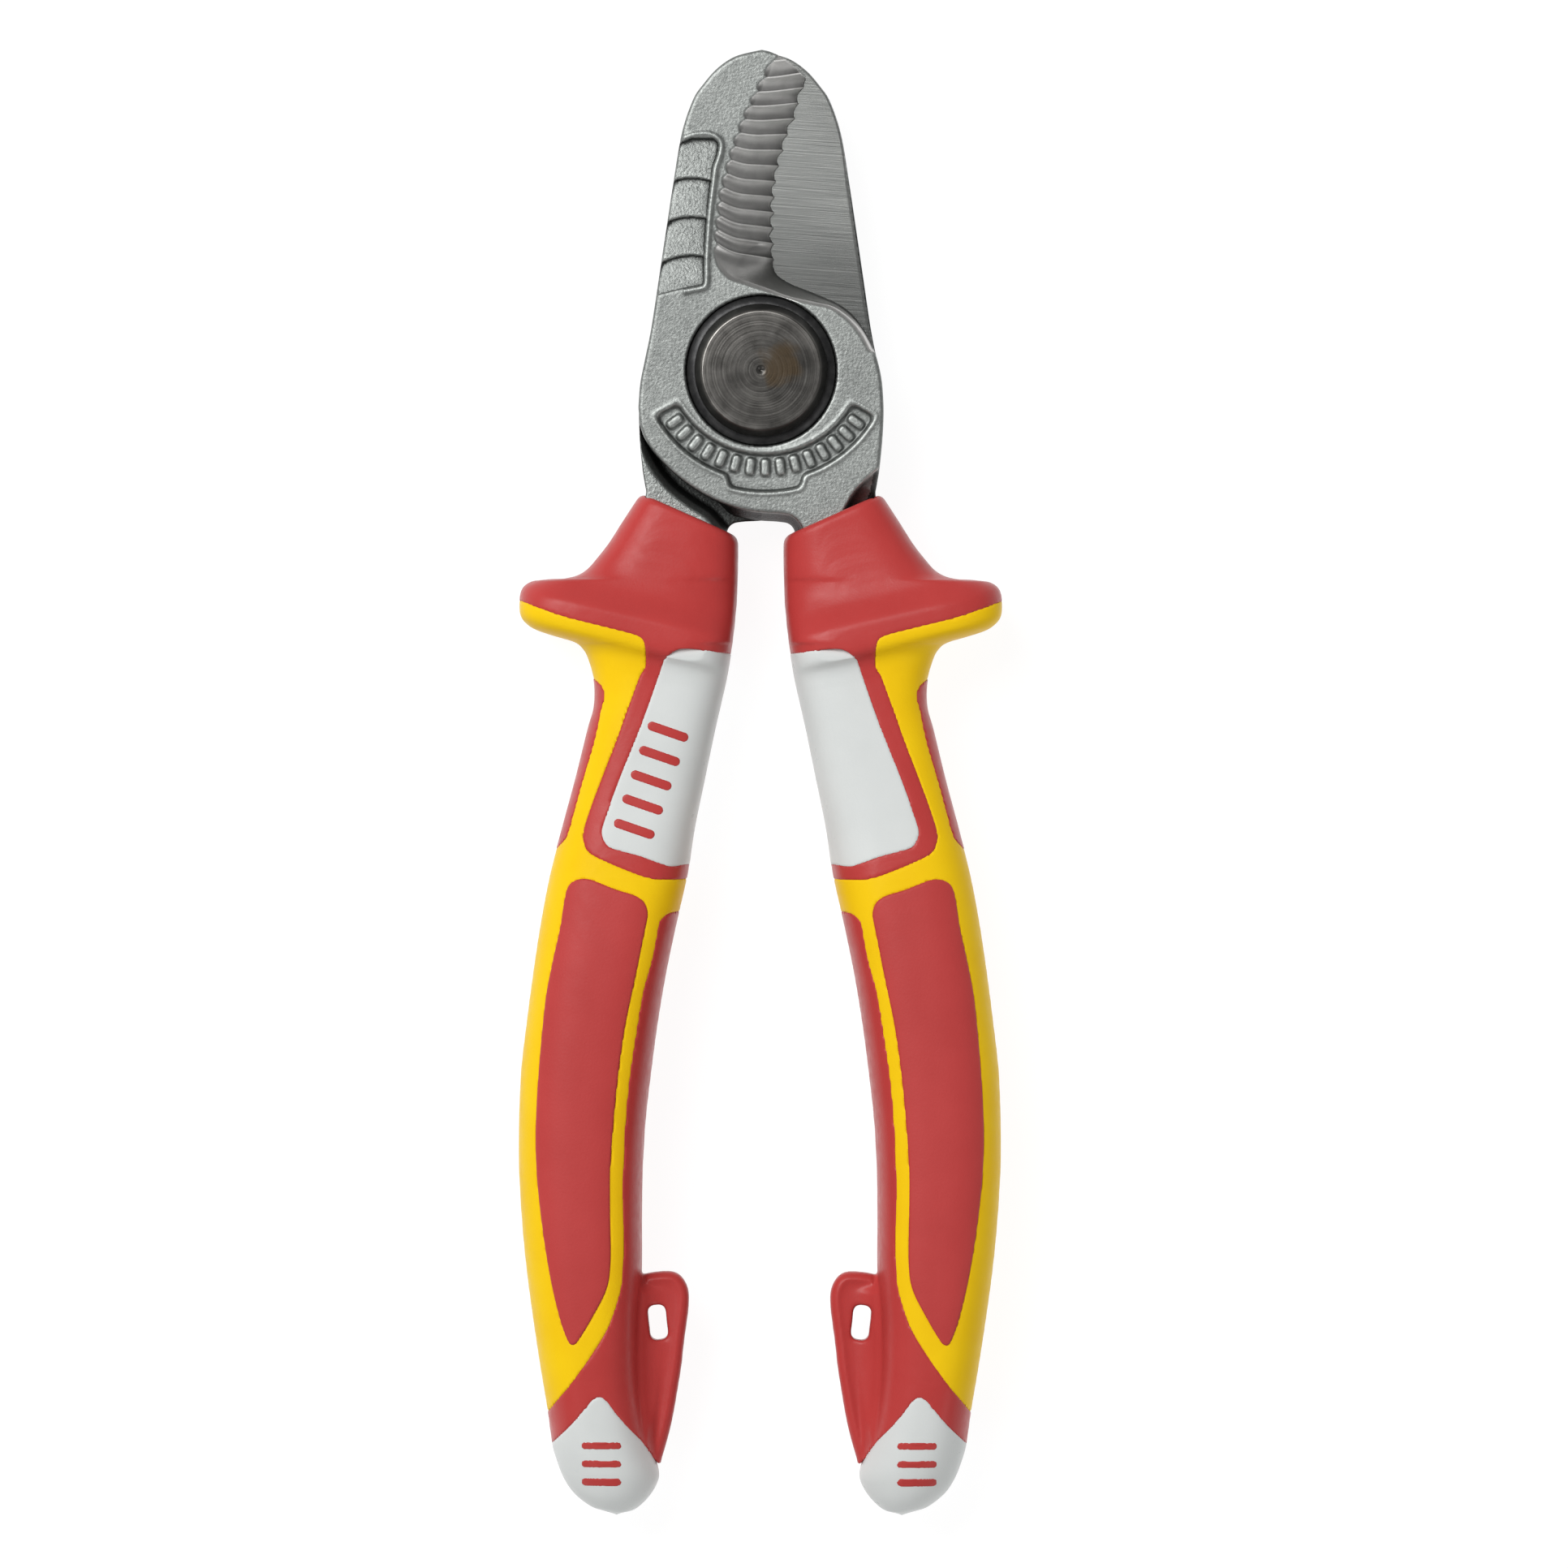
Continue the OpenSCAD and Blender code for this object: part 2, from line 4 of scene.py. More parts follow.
import bpy
import numpy as np
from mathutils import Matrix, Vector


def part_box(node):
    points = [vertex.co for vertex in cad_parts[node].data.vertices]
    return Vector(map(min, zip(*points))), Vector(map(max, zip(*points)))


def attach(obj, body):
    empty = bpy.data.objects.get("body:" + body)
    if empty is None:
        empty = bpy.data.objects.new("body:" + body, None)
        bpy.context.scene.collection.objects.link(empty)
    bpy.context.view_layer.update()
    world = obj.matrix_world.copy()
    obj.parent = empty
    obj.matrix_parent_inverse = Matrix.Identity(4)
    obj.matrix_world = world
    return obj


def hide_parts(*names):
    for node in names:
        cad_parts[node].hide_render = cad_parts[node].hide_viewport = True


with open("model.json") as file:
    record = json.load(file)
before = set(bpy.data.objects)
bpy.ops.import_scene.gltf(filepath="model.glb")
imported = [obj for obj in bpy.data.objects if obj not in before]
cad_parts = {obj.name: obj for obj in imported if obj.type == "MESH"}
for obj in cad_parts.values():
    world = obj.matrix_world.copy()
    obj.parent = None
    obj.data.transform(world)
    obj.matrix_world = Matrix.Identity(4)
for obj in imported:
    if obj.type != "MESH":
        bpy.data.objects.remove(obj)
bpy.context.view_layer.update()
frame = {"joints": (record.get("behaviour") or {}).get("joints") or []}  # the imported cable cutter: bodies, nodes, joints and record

import openvdb
from mathutils import Vector

# ---- the frame
# Shapes are drawn in millimetres about the bolt, for the right-hand grip and the front lever. Each
# is a signed distance field, negative inside, which surface() turns into a closed mesh. The other
# grip is the mirror image, and the rear lever is the front one turned over.
MM = 0.001
PIVOT = np.array(frame["joints"][0]["pos_m"], float)
FRONT, REAR = "front_half", "rear_half"
HALF_T = PIVOT[2] / MM  # the bolt's middle above the ground
TOP = (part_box("front_lever")[1].z / MM) - HALF_T  # face of the levers
LEVER_STEP = 0.14  # sampling of the steel, mm
GRIP_STEP = 0.22  # sampling of the mouldings, mm


# ---- curves and fields
def curve(points, closed=False, steps=8):
    """A Catmull-Rom curve through the points, as an array of points."""
    p = np.array(points, float)
    n = len(p)
    if closed:
        ring = [p[(i + k) % n] for i in range(n) for k in (-1, 0, 1, 2)]
    else:
        ring = [p[min(max(i + k, 0), n - 1)] for i in range(n - 1) for k in (-1, 0, 1, 2)]
    ring = np.array(ring).reshape(-1, 4, p.shape[1])
    t = (np.arange(steps) / steps)[None, :, None]
    a, b, c, d = (ring[:, k, None] for k in range(4))
    out = 0.5 * (2 * b + (c - a) * t + (2 * a - 5 * b + 4 * c - d) * t * t
                 + (3 * b - a - 3 * c + d) * t ** 3)
    out = out.reshape(-1, p.shape[1])
    return out if closed else np.vstack([out, p[-1:]])


def row(points):
    """A smooth function through (place, value) pairs."""
    c = curve(points)
    c = c[np.argsort(c[:, 0])]
    return lambda v: np.interp(v, c[:, 0], c[:, 1])


def smooth_max(a, b, r):
    """The larger of two distances, with the corner between them rounded over r."""
    h = np.maximum(r - np.abs(a - b), 0)
    return np.maximum(a, b) + h * h / (4 * r)


def smooth_min(a, b, r):
    """The smaller of two distances, with the corner between them filled over r."""
    return -smooth_max(-a, -b, r)


def blend01(v, low, high):
    """Smooth step from 0 at low to 1 at high."""
    t = np.clip((v - low) / (high - low), 0, 1)
    return t * t * (3 - 2 * t)


def line_distance(x, y, line):
    """Distance from each point to an open line."""
    best = np.full(np.broadcast(x, y).shape, 1e9)
    for (ax, ay), (bx, by) in zip(line[:-1], line[1:]):
        dx, dy = bx - ax, by - ay
        t = np.clip(((x - ax) * dx + (y - ay) * dy) / max(dx * dx + dy * dy, 1e-12), 0, 1)
        best = np.minimum(best, (x - ax - t * dx) ** 2 + (y - ay - t * dy) ** 2)
    return np.sqrt(best)


def area_distance(x, y, outline):
    """Signed distance to a closed outline, negative inside."""
    closed = np.vstack([outline, outline[:1]])
    inside = np.zeros(np.broadcast(x, y).shape, bool)
    for (ax, ay), (bx, by) in zip(closed[:-1], closed[1:]):
        if ay != by:
            crosses = (ay > y) != (by > y)
            inside ^= crosses & (x < ax + (y - ay) * (bx - ax) / (by - ay))
    far = line_distance(x, y, closed)
    return np.where(inside, -far, far)


class Chart:
    """Values on a fine grid over x and y, read between its points."""

    def __init__(self, low, step, values):
        self.low, self.step, self.values = low, step, values

    def __call__(self, x, y):
        x, y = np.broadcast_arrays(x, y)
        nx, ny = self.values.shape
        u = np.clip((x - self.low[0]) / self.step, 0, nx - 1.001)
        v = np.clip((y - self.low[1]) / self.step, 0, ny - 1.001)
        i, j = u.astype(int), v.astype(int)
        u, v = u - i, v - j
        g = self.values
        return ((g[i, j] * (1 - u) + g[i + 1, j] * u) * (1 - v)
                + (g[i, j + 1] * (1 - u) + g[i + 1, j + 1] * u) * v)


def charted(function, low, high, step):
    """A chart of a function of x and y."""
    gx = np.arange(low[0], high[0] + step, step)[:, None]
    gy = np.arange(low[1], high[1] + step, step)[None, :]
    values = np.broadcast_to(function(gx, gy), (gx.size, gy.size)).astype(np.float32)
    return Chart(low, step, values)


def soften(values, sigma, step):
    """Gaussian blur of a chart's grid, sigma in mm."""
    reach = int(3 * sigma / step) + 1
    k = np.exp(-0.5 * (np.arange(-reach, reach + 1) * step / sigma) ** 2)
    k /= k.sum()
    for axis in (0, 1):
        pad = [(reach, reach) if a == axis else (0, 0) for a in (0, 1)]
        wide = np.pad(values, pad, mode="edge")
        values = sum(w * np.take(wide, range(i, i + values.shape[axis]), axis=axis)
                     for i, w in enumerate(k))
    return values


# ---- meshes
def ruler(*runs):
    """Marks along one axis, from runs of (start, end, step)."""
    return np.concatenate([np.arange(a, b, step) for a, b, step in runs] + [[runs[-1][1]]])


REACH = 4.0  # the field is kept this many steps each way
PULLS = 2


def surface(field, marks):
    """The closed surface where the field is 0, sampled at the marks along X, Y and Z."""
    gx, gy, gz = marks
    step = min(np.diff(m).min() for m in marks)
    size = (len(gx), len(gy), len(gz))
    values = np.broadcast_to(field(gx[:, None, None], gy[None, :, None], gz[None, None, :]), size)
    values = np.clip(values / step, -REACH, REACH).astype(np.float32)
    grid = openvdb.FloatGrid(REACH)
    grid.copyFromArray(np.ascontiguousarray(values))
    points, triangles, quads = grid.convertToPolygons(isovalue=0.0, adaptivity=0.0)
    points = np.stack([np.interp(points[:, k], np.arange(size[k]), marks[k]) for k in range(3)], 1)
    for _ in range(PULLS):
        points = points - pull(field, points, step)
    faces = [tuple(f) for f in triangles] + [tuple(f) for f in quads]
    if signed_volume(points, triangles, quads) < 0:
        faces = [f[::-1] for f in faces]
    return points, faces


def cube_marks(low, high, step):
    """Even marks along X, Y and Z between two corners."""
    return [ruler((low[k], high[k], step)) for k in range(3)]


def pull(field, points, step):
    """The step that brings each point onto the field's surface."""
    e = 0.02
    x, y, z = points.T
    here = field(x, y, z)
    slope = np.stack([field(x + e, y, z) - field(x - e, y, z),
                      field(x, y + e, z) - field(x, y - e, z),
                      field(x, y, z + e) - field(x, y, z - e)], 1) / (2 * e)
    size = np.maximum((slope ** 2).sum(1), 0.2)
    move = here[:, None] * slope / size[:, None]
    reach = np.linalg.norm(move, axis=1, keepdims=True)
    return move * np.minimum(1, 0.5 * step / np.maximum(reach, 1e-9))


def signed_volume(points, triangles, quads):
    """Six times the volume inside the faces, negative where they face inwards."""
    flat = [triangles, quads[:, [0, 1, 2]], quads[:, [0, 2, 3]]]
    tri = points[np.vstack([f.reshape(-1, 3) for f in flat]).astype(int)]
    return np.einsum("ij,ij->i", tri[:, 0], np.cross(tri[:, 1], tri[:, 2])).sum()


def placed_object(name, data):
    thing = bpy.data.objects.new(name, data)
    bpy.context.scene.collection.objects.link(thing)
    return thing


def add_piece(name, shape, body, material, nodes, side="right", marks=None, crease=None):
    """Adds a mesh piece. side is right, left (mirrored) or over (turned over about Y)."""
    points, faces = shape
    turn = {"right": (1, 1, 1), "left": (-1, 1, 1), "over": (-1, 1, -1)}[side]
    placed = points * turn * MM + PIVOT
    if side == "left":
        faces = [f[::-1] for f in faces]
    mesh = bpy.data.meshes.new(name)
    mesh.from_pydata(placed.tolist(), [], faces)
    for label, values in (marks or {}).items():
        mesh.attributes.new(label, "FLOAT", "POINT").data.foreach_set(
            "value", np.asarray(values, np.float32))
    mesh.polygons.foreach_set("use_smooth", [True] * len(mesh.polygons))
    if crease:
        mesh.set_sharp_from_angle(angle=math.radians(crease))
    mesh.materials.append(material)
    mesh.validate()
    piece = placed_object(name, mesh)
    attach(piece, body)
    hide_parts(*nodes)


# ---- materials
def new_material(name, color, roughness, metallic=0.0):
    """A material with its node tree and its shader."""
    m = bpy.data.materials.new(name)
    m.use_nodes = True
    shader = m.node_tree.nodes["Principled BSDF"]
    shader.inputs["Base Color"].default_value = (*color, 1)
    shader.inputs["Roughness"].default_value = roughness
    shader.inputs["Metallic"].default_value = metallic
    return m, m.node_tree, shader


def node(tree, kind, **settings):
    n = tree.nodes.new(kind)
    for key, value in settings.items():
        setattr(n, key, value)
    return n


def object_place(tree):
    """Place on the object, in metres from the origin."""
    return node(tree, "ShaderNodeTexCoord").outputs["Object"]


def vector_math(tree, operation, value, other=(0, 0, 0)):
    """The outputs of vector math on a socket and a fixed vector."""
    n = node(tree, "ShaderNodeVectorMath", operation=operation)
    n.inputs[1].default_value = other
    tree.links.new(value, n.inputs[0])
    return n.outputs


def mapped(tree, value, from_low, from_high, to_low=0.0, to_high=1.0, kind="LINEAR"):
    """The value carried from one range to another, and held at the ends."""
    n = node(tree, "ShaderNodeMapRange", interpolation_type=kind)
    for name, limit in (("From Min", from_low), ("From Max", from_high),
                        ("To Min", to_low), ("To Max", to_high)):
        n.inputs[name].default_value = limit
    tree.links.new(value, n.inputs["Value"])
    return n.outputs["Result"]


def noise(tree, scale, detail=3.0, stretch=(1, 1, 1), turn=0.0):
    """Noise in object space, in cycles a metre, turned about the vertical and then stretched."""
    turned_by = node(tree, "ShaderNodeMapping")
    turned_by.inputs["Rotation"].default_value = (0, 0, turn)
    fit = node(tree, "ShaderNodeMapping")
    fit.inputs["Scale"].default_value = stretch
    grain = node(tree, "ShaderNodeTexNoise")
    grain.inputs["Scale"].default_value = scale
    grain.inputs["Detail"].default_value = detail
    tree.links.new(object_place(tree), turned_by.inputs["Vector"])
    tree.links.new(turned_by.outputs["Vector"], fit.inputs["Vector"])
    tree.links.new(fit.outputs["Vector"], grain.inputs["Vector"])
    return grain.outputs["Fac"]


def ramp(tree, value, stops):
    """A colour for the value, from (place, colour) stops."""
    r = node(tree, "ShaderNodeValToRGB")
    while len(r.color_ramp.elements) < len(stops):
        r.color_ramp.elements.new(0.5)
    for element, (place, color) in zip(r.color_ramp.elements, stops):
        element.position = place
        element.color = (*color, 1)
    tree.links.new(value, r.inputs["Fac"])
    return r.outputs["Color"]


def grey(v):
    return (v, v, v)


def bump(tree, shader, value, distance, strength=1.0):
    """Bump on the shader from a height between 0 and 1, its distance in metres."""
    b = node(tree, "ShaderNodeBump")
    b.inputs["Strength"].default_value = strength
    b.inputs["Distance"].default_value = distance
    tree.links.new(value, b.inputs["Height"])
    tree.links.new(b.outputs["Normal"], shader.inputs["Normal"])
    return b


def plastic(name, color, dark, roughness, gloss, grain=0.000012):
    """Satin moulded plastic: faint mottling and a fine moulded grain."""
    m, tree, shader = new_material(name, color, roughness)
    shader.inputs["Specular IOR Level"].default_value = gloss
    tint = ramp(tree, noise(tree, 180, 4), [(0.3, dark), (0.7, color)])
    tree.links.new(tint, shader.inputs["Base Color"])
    rough = ramp(tree, noise(tree, 900, 3),
                 [(0.3, grey(roughness - 0.05)), (0.7, grey(roughness + 0.06))])
    tree.links.new(rough, shader.inputs["Roughness"])
    bump(tree, shader, noise(tree, 4200, 2), grain)
    return m


def mixed(tree, factor, a, b):
    """Colour a where the factor is 0 and b where it is 1; each is a colour or a socket."""
    mix = node(tree, "ShaderNodeMix", data_type="RGBA")
    tree.links.new(factor, mix.inputs[0])
    for value, socket in ((a, mix.inputs[6]), (b, mix.inputs[7])):
        if isinstance(value, tuple):
            socket.default_value = (*value, 1)
        else:
            tree.links.new(value, socket)
    return mix.outputs[2]


def attribute(tree, name):
    """A mark that is stored on the mesh's points."""
    return node(tree, "ShaderNodeAttribute", attribute_name=name).outputs["Fac"]


def scaled(tree, color, factor):
    """The colour times a grey factor."""
    mix = node(tree, "ShaderNodeMix", data_type="RGBA", blend_type="MULTIPLY")
    mix.inputs[0].default_value = 1.0
    tree.links.new(color, mix.inputs[6])
    tree.links.new(factor, mix.inputs[7])
    return mix.outputs[2]


BRUSH_TURN = math.radians(4)  # lean of the brushed lines on the shear faces
# Painted light across one flute: a painted highlight on its crest, then painted shade, growing lighter up
# to the next crest.
FLUTE_PAINTED_LIGHT = [(0.0, grey(1.0)), (0.025, grey(1.0)), (0.06, grey(0.27)), (0.2, grey(0.42)),
                (0.45, grey(0.65)), (0.8, grey(0.8)), (0.96, grey(0.75)), (0.98, grey(1.0)),
                (1.0, grey(1.0))]


def forged_steel():
    """Blasted forging. The mark 'ground' is 1 on brushed faces, 'bevel' on the fluted bevel and
    'rough' on coarse stretches; 'flute' counts the flutes for their painted light and shade, and
    'wear' runs from -1, painted shade in creases, on side walls, in the neck's valley and towards
    the throat, to 1 on worn edges."""
    m, tree, shader = new_material("forged_steel", (0.3, 0.3, 0.3), 0.5, 1.0)
    ground, bevel, wear_and_painted_shade = (attribute(tree, name) for name in ("ground", "bevel", "wear_and_painted_shade"))
    cast = ramp(tree, noise(tree, 2400, 7), [(0.3, (0.215, 0.226, 0.218)), (0.7, (0.325, 0.34, 0.328))])
    patches = ramp(tree, noise(tree, 130, 3), [(0.3, grey(0.88)), (0.7, grey(1.06))])
    cast = scaled(tree, cast, patches)
    lines = noise(tree, 420, 7, (0.25, 14, 1), BRUSH_TURN)
    brushed = ramp(tree, lines, [(0.3, (0.215, 0.223, 0.215)), (0.7, (0.335, 0.342, 0.33))])
    clouds = ramp(tree, noise(tree, 90, 3), [(0.3, grey(0.85)), (0.7, grey(1.0))])
    brushed = scaled(tree, brushed, clouds)
    smooth = ramp(tree, noise(tree, 700, 3), [(0.3, (0.57, 0.565, 0.55)), (0.7, (0.67, 0.663, 0.645))])
    turn = node(tree, "ShaderNodeMath", operation="FRACT")
    tree.links.new(attribute(tree, "flute"), turn.inputs[0])
    # each flute gets its painted highlight and shade from its place between crests
    smooth = scaled(tree, smooth, ramp(tree, turn.outputs["Value"], FLUTE_PAINTED_LIGHT))
    color = mixed(tree, bevel, mixed(tree, ground, cast, brushed), smooth)
    # Worn edges lighter; painted shade darkens creases, side walls, the neck's valley and the throat.
    worn = mapped(tree, wear_and_painted_shade, -1, 1, 0.08, 1.92)
    tree.links.new(scaled(tree, color, worn), shader.inputs["Base Color"])
    rough = mixed(tree, bevel, mixed(tree, ground, grey(0.5), grey(0.34)), grey(0.36))
    tree.links.new(rough, shader.inputs["Roughness"])
    grain = mixed(tree, ground, noise(tree, 3600, 6), lines)
    coarse = mixed(tree, attribute(tree, "rough"), grey(0.4), grey(1.0))
    depth = mixed(tree, bevel, mixed(tree, ground, coarse, grey(0.16)), grey(0.1))
    rise = bump(tree, shader, grain, 0.00011)
    tree.links.new(depth, rise.inputs["Strength"])
    return m


def from_axis(tree):
    """Distance from the bolt's axis, in metres."""
    away = vector_math(tree, "SUBTRACT", object_place(tree), PIVOT)["Vector"]
    flat = vector_math(tree, "MULTIPLY", away, (1, 1, 0))["Vector"]
    return vector_math(tree, "LENGTH", flat)["Value"]


RIM_RANGE = 0.01  # radius that the rim's painted highlight and the black side run over, in metres
PAINTED_RIM_HIGHLIGHT_BLACK_SIDE = [(0.0, grey(0.5)), (0.55, grey(0.5)), (0.62, grey(0.62)), (0.635, grey(1.0)),
            (0.655, grey(1.0)), (0.67, grey(0.3)), (0.72, grey(0.15))]
LIT_SIDE, FACE_R = (-0.8, 0.6, 0), 0.0066  # painted light: the face is painted lighter towards this side
STAIN_AT, STAIN_COLOR = np.array([2.0, 0.6, 7.2]), (0.06, 0.041, 0.022)


def face_painted_light_black_side(tree, base):
    """A bolt face with a painted highlight at its rim, black beyond it, and painted lighter towards one
    side.
    """
    reach = mapped(tree, from_axis(tree), 0.0, RIM_RANGE)
    # the painted highlight ring at the rim, then the head's black side
    base = scaled(tree, base, ramp(tree, reach, PAINTED_RIM_HIGHLIGHT_BLACK_SIDE))
    away = vector_math(tree, "SUBTRACT", object_place(tree), PIVOT)["Vector"]
    along = vector_math(tree, "DOT_PRODUCT", away, LIT_SIDE)["Value"]
    base = scaled(tree, base, mapped(tree, along, -FACE_R, FACE_R, 0.6, 1.3))
    double = node(tree, "ShaderNodeVectorMath", operation="SCALE")
    double.inputs["Scale"].default_value = 2.0
    tree.links.new(base, double.inputs[0])
    return double.outputs["Vector"]


def stain_amount(tree):
    """How brown the bolt's face is: a ragged spot beside its middle."""
    gap = vector_math(tree, "DISTANCE", object_place(tree), PIVOT + STAIN_AT * MM)["Value"]
    shift = node(tree, "ShaderNodeMath", operation="MULTIPLY")
    shift.inputs[1].default_value = 0.004
    tree.links.new(noise(tree, 500, 4), shift.inputs[0])
    ragged = node(tree, "ShaderNodeMath", operation="ADD")
    tree.links.new(gap, ragged.inputs[0])
    tree.links.new(shift.outputs["Value"], ragged.inputs[1])
    return mapped(tree, ragged.outputs["Value"], 0.0032, 0.0048, 0.75, 0.0, "SMOOTHSTEP")


def turned_steel(name, stain_and_painted_light):
    """Dark turned steel with rings round the axis; for the bolt, also a stain and the face's painted
    highlight and side light.
    """
    m, tree, shader = new_material(name, (0.15, 0.14, 0.13), 0.4, 1.0)
    spread = node(tree, "ShaderNodeCombineXYZ")
    tree.links.new(from_axis(tree), spread.inputs["X"])
    rings = node(tree, "ShaderNodeTexNoise")
    rings.inputs["Scale"].default_value = 4500
    rings.inputs["Detail"].default_value = 3
    tree.links.new(spread.outputs["Vector"], rings.inputs["Vector"])
    base = ramp(tree, rings.outputs["Fac"], [(0.35, (0.08, 0.077, 0.072)), (0.5, (0.1, 0.096, 0.09)),
                                             (0.7, (0.16, 0.154, 0.145))])
    blotch = ramp(tree, noise(tree, 520, 6), [(0.35, grey(0.5)), (0.65, grey(0.95))])
    base = scaled(tree, base, blotch)
    rough = ramp(tree, noise(tree, 650, 4), [(0.3, grey(0.32)), (0.7, grey(0.5))])
    tree.links.new(rough, shader.inputs["Roughness"])
    height = mixed(tree, noise(tree, 1500, 4), rings.outputs["Fac"], grey(0.5))
    bump(tree, shader, height, 0.00002, 0.8)
    if stain_and_painted_light:
        # the bolt's stain, over the face's painted rim highlight and side light
        base = mixed(tree, stain_amount(tree), face_painted_light_black_side(tree, base), STAIN_COLOR)
    tree.links.new(base, shader.inputs["Base Color"])
    return m


def black_steel():
    """Blackened spring steel."""
    m, tree, shader = new_material("black_steel", (0.03, 0.03, 0.03), 0.42, 0.7)
    tint = ramp(tree, noise(tree, 900, 4), [(0.3, (0.022, 0.022, 0.023)), (0.7, (0.05, 0.05, 0.05))])
    tree.links.new(tint, shader.inputs["Base Color"])
    bump(tree, shader, noise(tree, 2500, 3), 0.00002)
    return m


# Colour, its darker shade, roughness, specular level, and the depth of the grain.
RED = plastic("red_plastic", (0.47, 0.049, 0.046), (0.44, 0.044, 0.041), 0.34, 0.17)
SOFT_RED = plastic("soft_red_plastic", (0.47, 0.052, 0.05), (0.44, 0.047, 0.045), 0.46, 0.15, 0.00002)
YELLOW = plastic("yellow_plastic", (0.86, 0.56, 0.009), (0.83, 0.52, 0.008), 0.36, 0.03)
WHITE = plastic("white_plastic", (0.65, 0.67, 0.66), (0.62, 0.64, 0.63), 0.32, 0.08)
STEEL = forged_steel()
BOLT_STEEL = turned_steel("bolt_steel", True)
NUT_STEEL = turned_steel("nut_steel", False)
BLACK_STEEL = black_steel()


# ---- the levers
PLAY = 0.02  # half the gap between the shear faces
BOSS_R = 14.7
JAW_BACK = [
    (0, 35), (-2.8, 34.3), (-4.8, 33), (-6.4, 31.2), (-7.5, 29.5), (-8.7, 25.9), (-9.6, 20.6),
    (-10.4, 15.3), (-11.2, 9.9), (-12, 4.6), (-12.7, 1.1), (-13.2, -1.5), (-13.4, -4.3)
]
BOSS_UNDER = [
    (-13.2, -6), (-12.6, -7.6), (-11.3, -9.4), (-9, -11.6), (-6.4, -13.4), (-3.6, -14.7), (-0.8, -15.4),
    (1.8, -15.6)
]
CUTTING_EDGE = [
    (5.15, 31.6), (4.4, 30.4), (3.9, 28), (3.2, 26.4), (2.7, 24.8), (2.2, 23.1), (1.9, 21.6),
    (1.65, 19.8), (1.55, 17), (1.5, 13.1), (1.4, 11.9)
]
THROAT = [(1.4, 11.9), (1.9, 10.7), (3.4, 9.7), (6.5, 8.4), (9.2, 7), (11, 5), (12.2, 2.6)]
FACE_EDGE = [
    (1.8, 34.6), (0.8, 32.5), (-0.1, 30.7), (-0.9, 29.1), (-1.6, 27.6), (-2.2, 26), (-2.75, 24.5),
    (-3.2, 23), (-3.6, 21.5), (-4, 20), (-4.3, 18.5), (-4.4, 17), (-4.6, 15.6), (-4.7, 14.1),
    (-4.7, 12.8), (-4.4, 11.7), (-3.8, 10.8), (-3, 10.2), (-1.5, 9.7), (0.7, 9), (2.9, 8.2), (5.6, 7.6),
    (7.6, 7.15), (9, 6.3), (10.2, 5.2), (11.2, 3.9), (12, 2.4)
]
BOSS_SIDE = [(12.2, 2.6), (12.7, 1.1), (13.15, -1), (13.35, -3.5), (13.35, -5.5), (13.2, -8), (12.9, -11)]
NECK_OUT = [(12.9, -11), (12.5, -13.2), (12.1, -14.6), (12.6, -17), (13.4, -20)]
NECK_IN = [(5.6, -22), (5.1, -19.4), (4.6, -17.5), (4, -16.4), (3.1, -15.8), (1.8, -15.6)]
NOSE = [(5.15, 31.6), (4, 32.9), (2.9, 33.8), (1.8, 34.4), (0.9, 34.8), (0, 35)]
TANG = [(8.9, -19), (11.3, -30), (13.8, -44), (16.4, -58), (18.4, -72), (19.3, -86)]
TANG_HALF_T = 3.0
NECK_END = -21.0  # below this only the tang goes on


def lever_outline():
    """The forged head and neck, once round."""
    parts = [curve(JAW_BACK), curve(BOSS_UNDER), curve(NECK_IN[::-1]), curve(NECK_OUT[::-1]),
             curve(BOSS_SIDE[::-1]), curve(THROAT[::-1]), curve(CUTTING_EDGE[::-1]), curve(NOSE)]
    return np.vstack([p[:-1] for p in parts])


def head_plan(x, y):
    """Signed distance to the head and neck."""
    return area_distance(x, y, lever_outline())


def tang_plan(x, y):
    """Signed distance to the tang, which narrows down the grip."""
    half = np.interp(-y, [19, 86], [4.0, 2.2])
    return line_distance(x, y, curve(TANG)) - half


def plan(x, y):
    """Signed distance to the lever's outline, with its tang."""
    return smooth_min(HEAD_PLAN(x, y), TANG_PLAN(x, y), 1.0)


RIDGE_PITCH, FIRST_RIDGE, FLUTES = 1.64, 12.65, 13
FLUTE_DEPTH = 0.4
BEVEL_RUN = 6.5  # about the bevel's width, to carry its run on past it


def flute_phase(x, y, run):
    """Counts the flutes up the jaw; they curl up where they run out on the face."""
    mid_x = np.interp(y, [10, 18, 26, 32], [-1.5, -1.4, 0.4, 3])
    tilt = np.interp(y, [12.5, 22, 32], [-0.13, -0.02, 0.2])
    curl = np.interp(y, [12, 20, 30], [0.8, 0.55, 0.1]) * np.clip((run - 0.6) / 0.4, 0, 1.2) ** 2
    return (y - tilt * (x - mid_x) - curl - FIRST_RIDGE) / RIDGE_PITCH


def bevel_run(x, y):
    """Place across the bevel: 0 at the edge, 1 at the face."""
    edge = line_distance(x, y, np.vstack([curve(CUTTING_EDGE), curve(THROAT)[1:]]))
    face = line_distance(x, y, curve(FACE_EDGE))
    run = edge / (edge + face + 1e-6)
    return np.where(bevel_zone(x, y) < 0, run, 1 + face / BEVEL_RUN)


def bevel_height(x, y):
    """Height of the ground bevel: from 0 at the edge to the face, with its flutes."""
    run = bevel_run(x, y)
    phase = flute_phase(x, y, run)
    part = phase - np.floor(phase)
    scoop = 1 - (2 * part - 1) ** 2
    shown = (phase > 0) & (phase < FLUTES)
    below = np.clip(-phase, 0, 1)
    return TOP * run - FLUTE_DEPTH * np.where(shown, scoop, below * (2 - below))


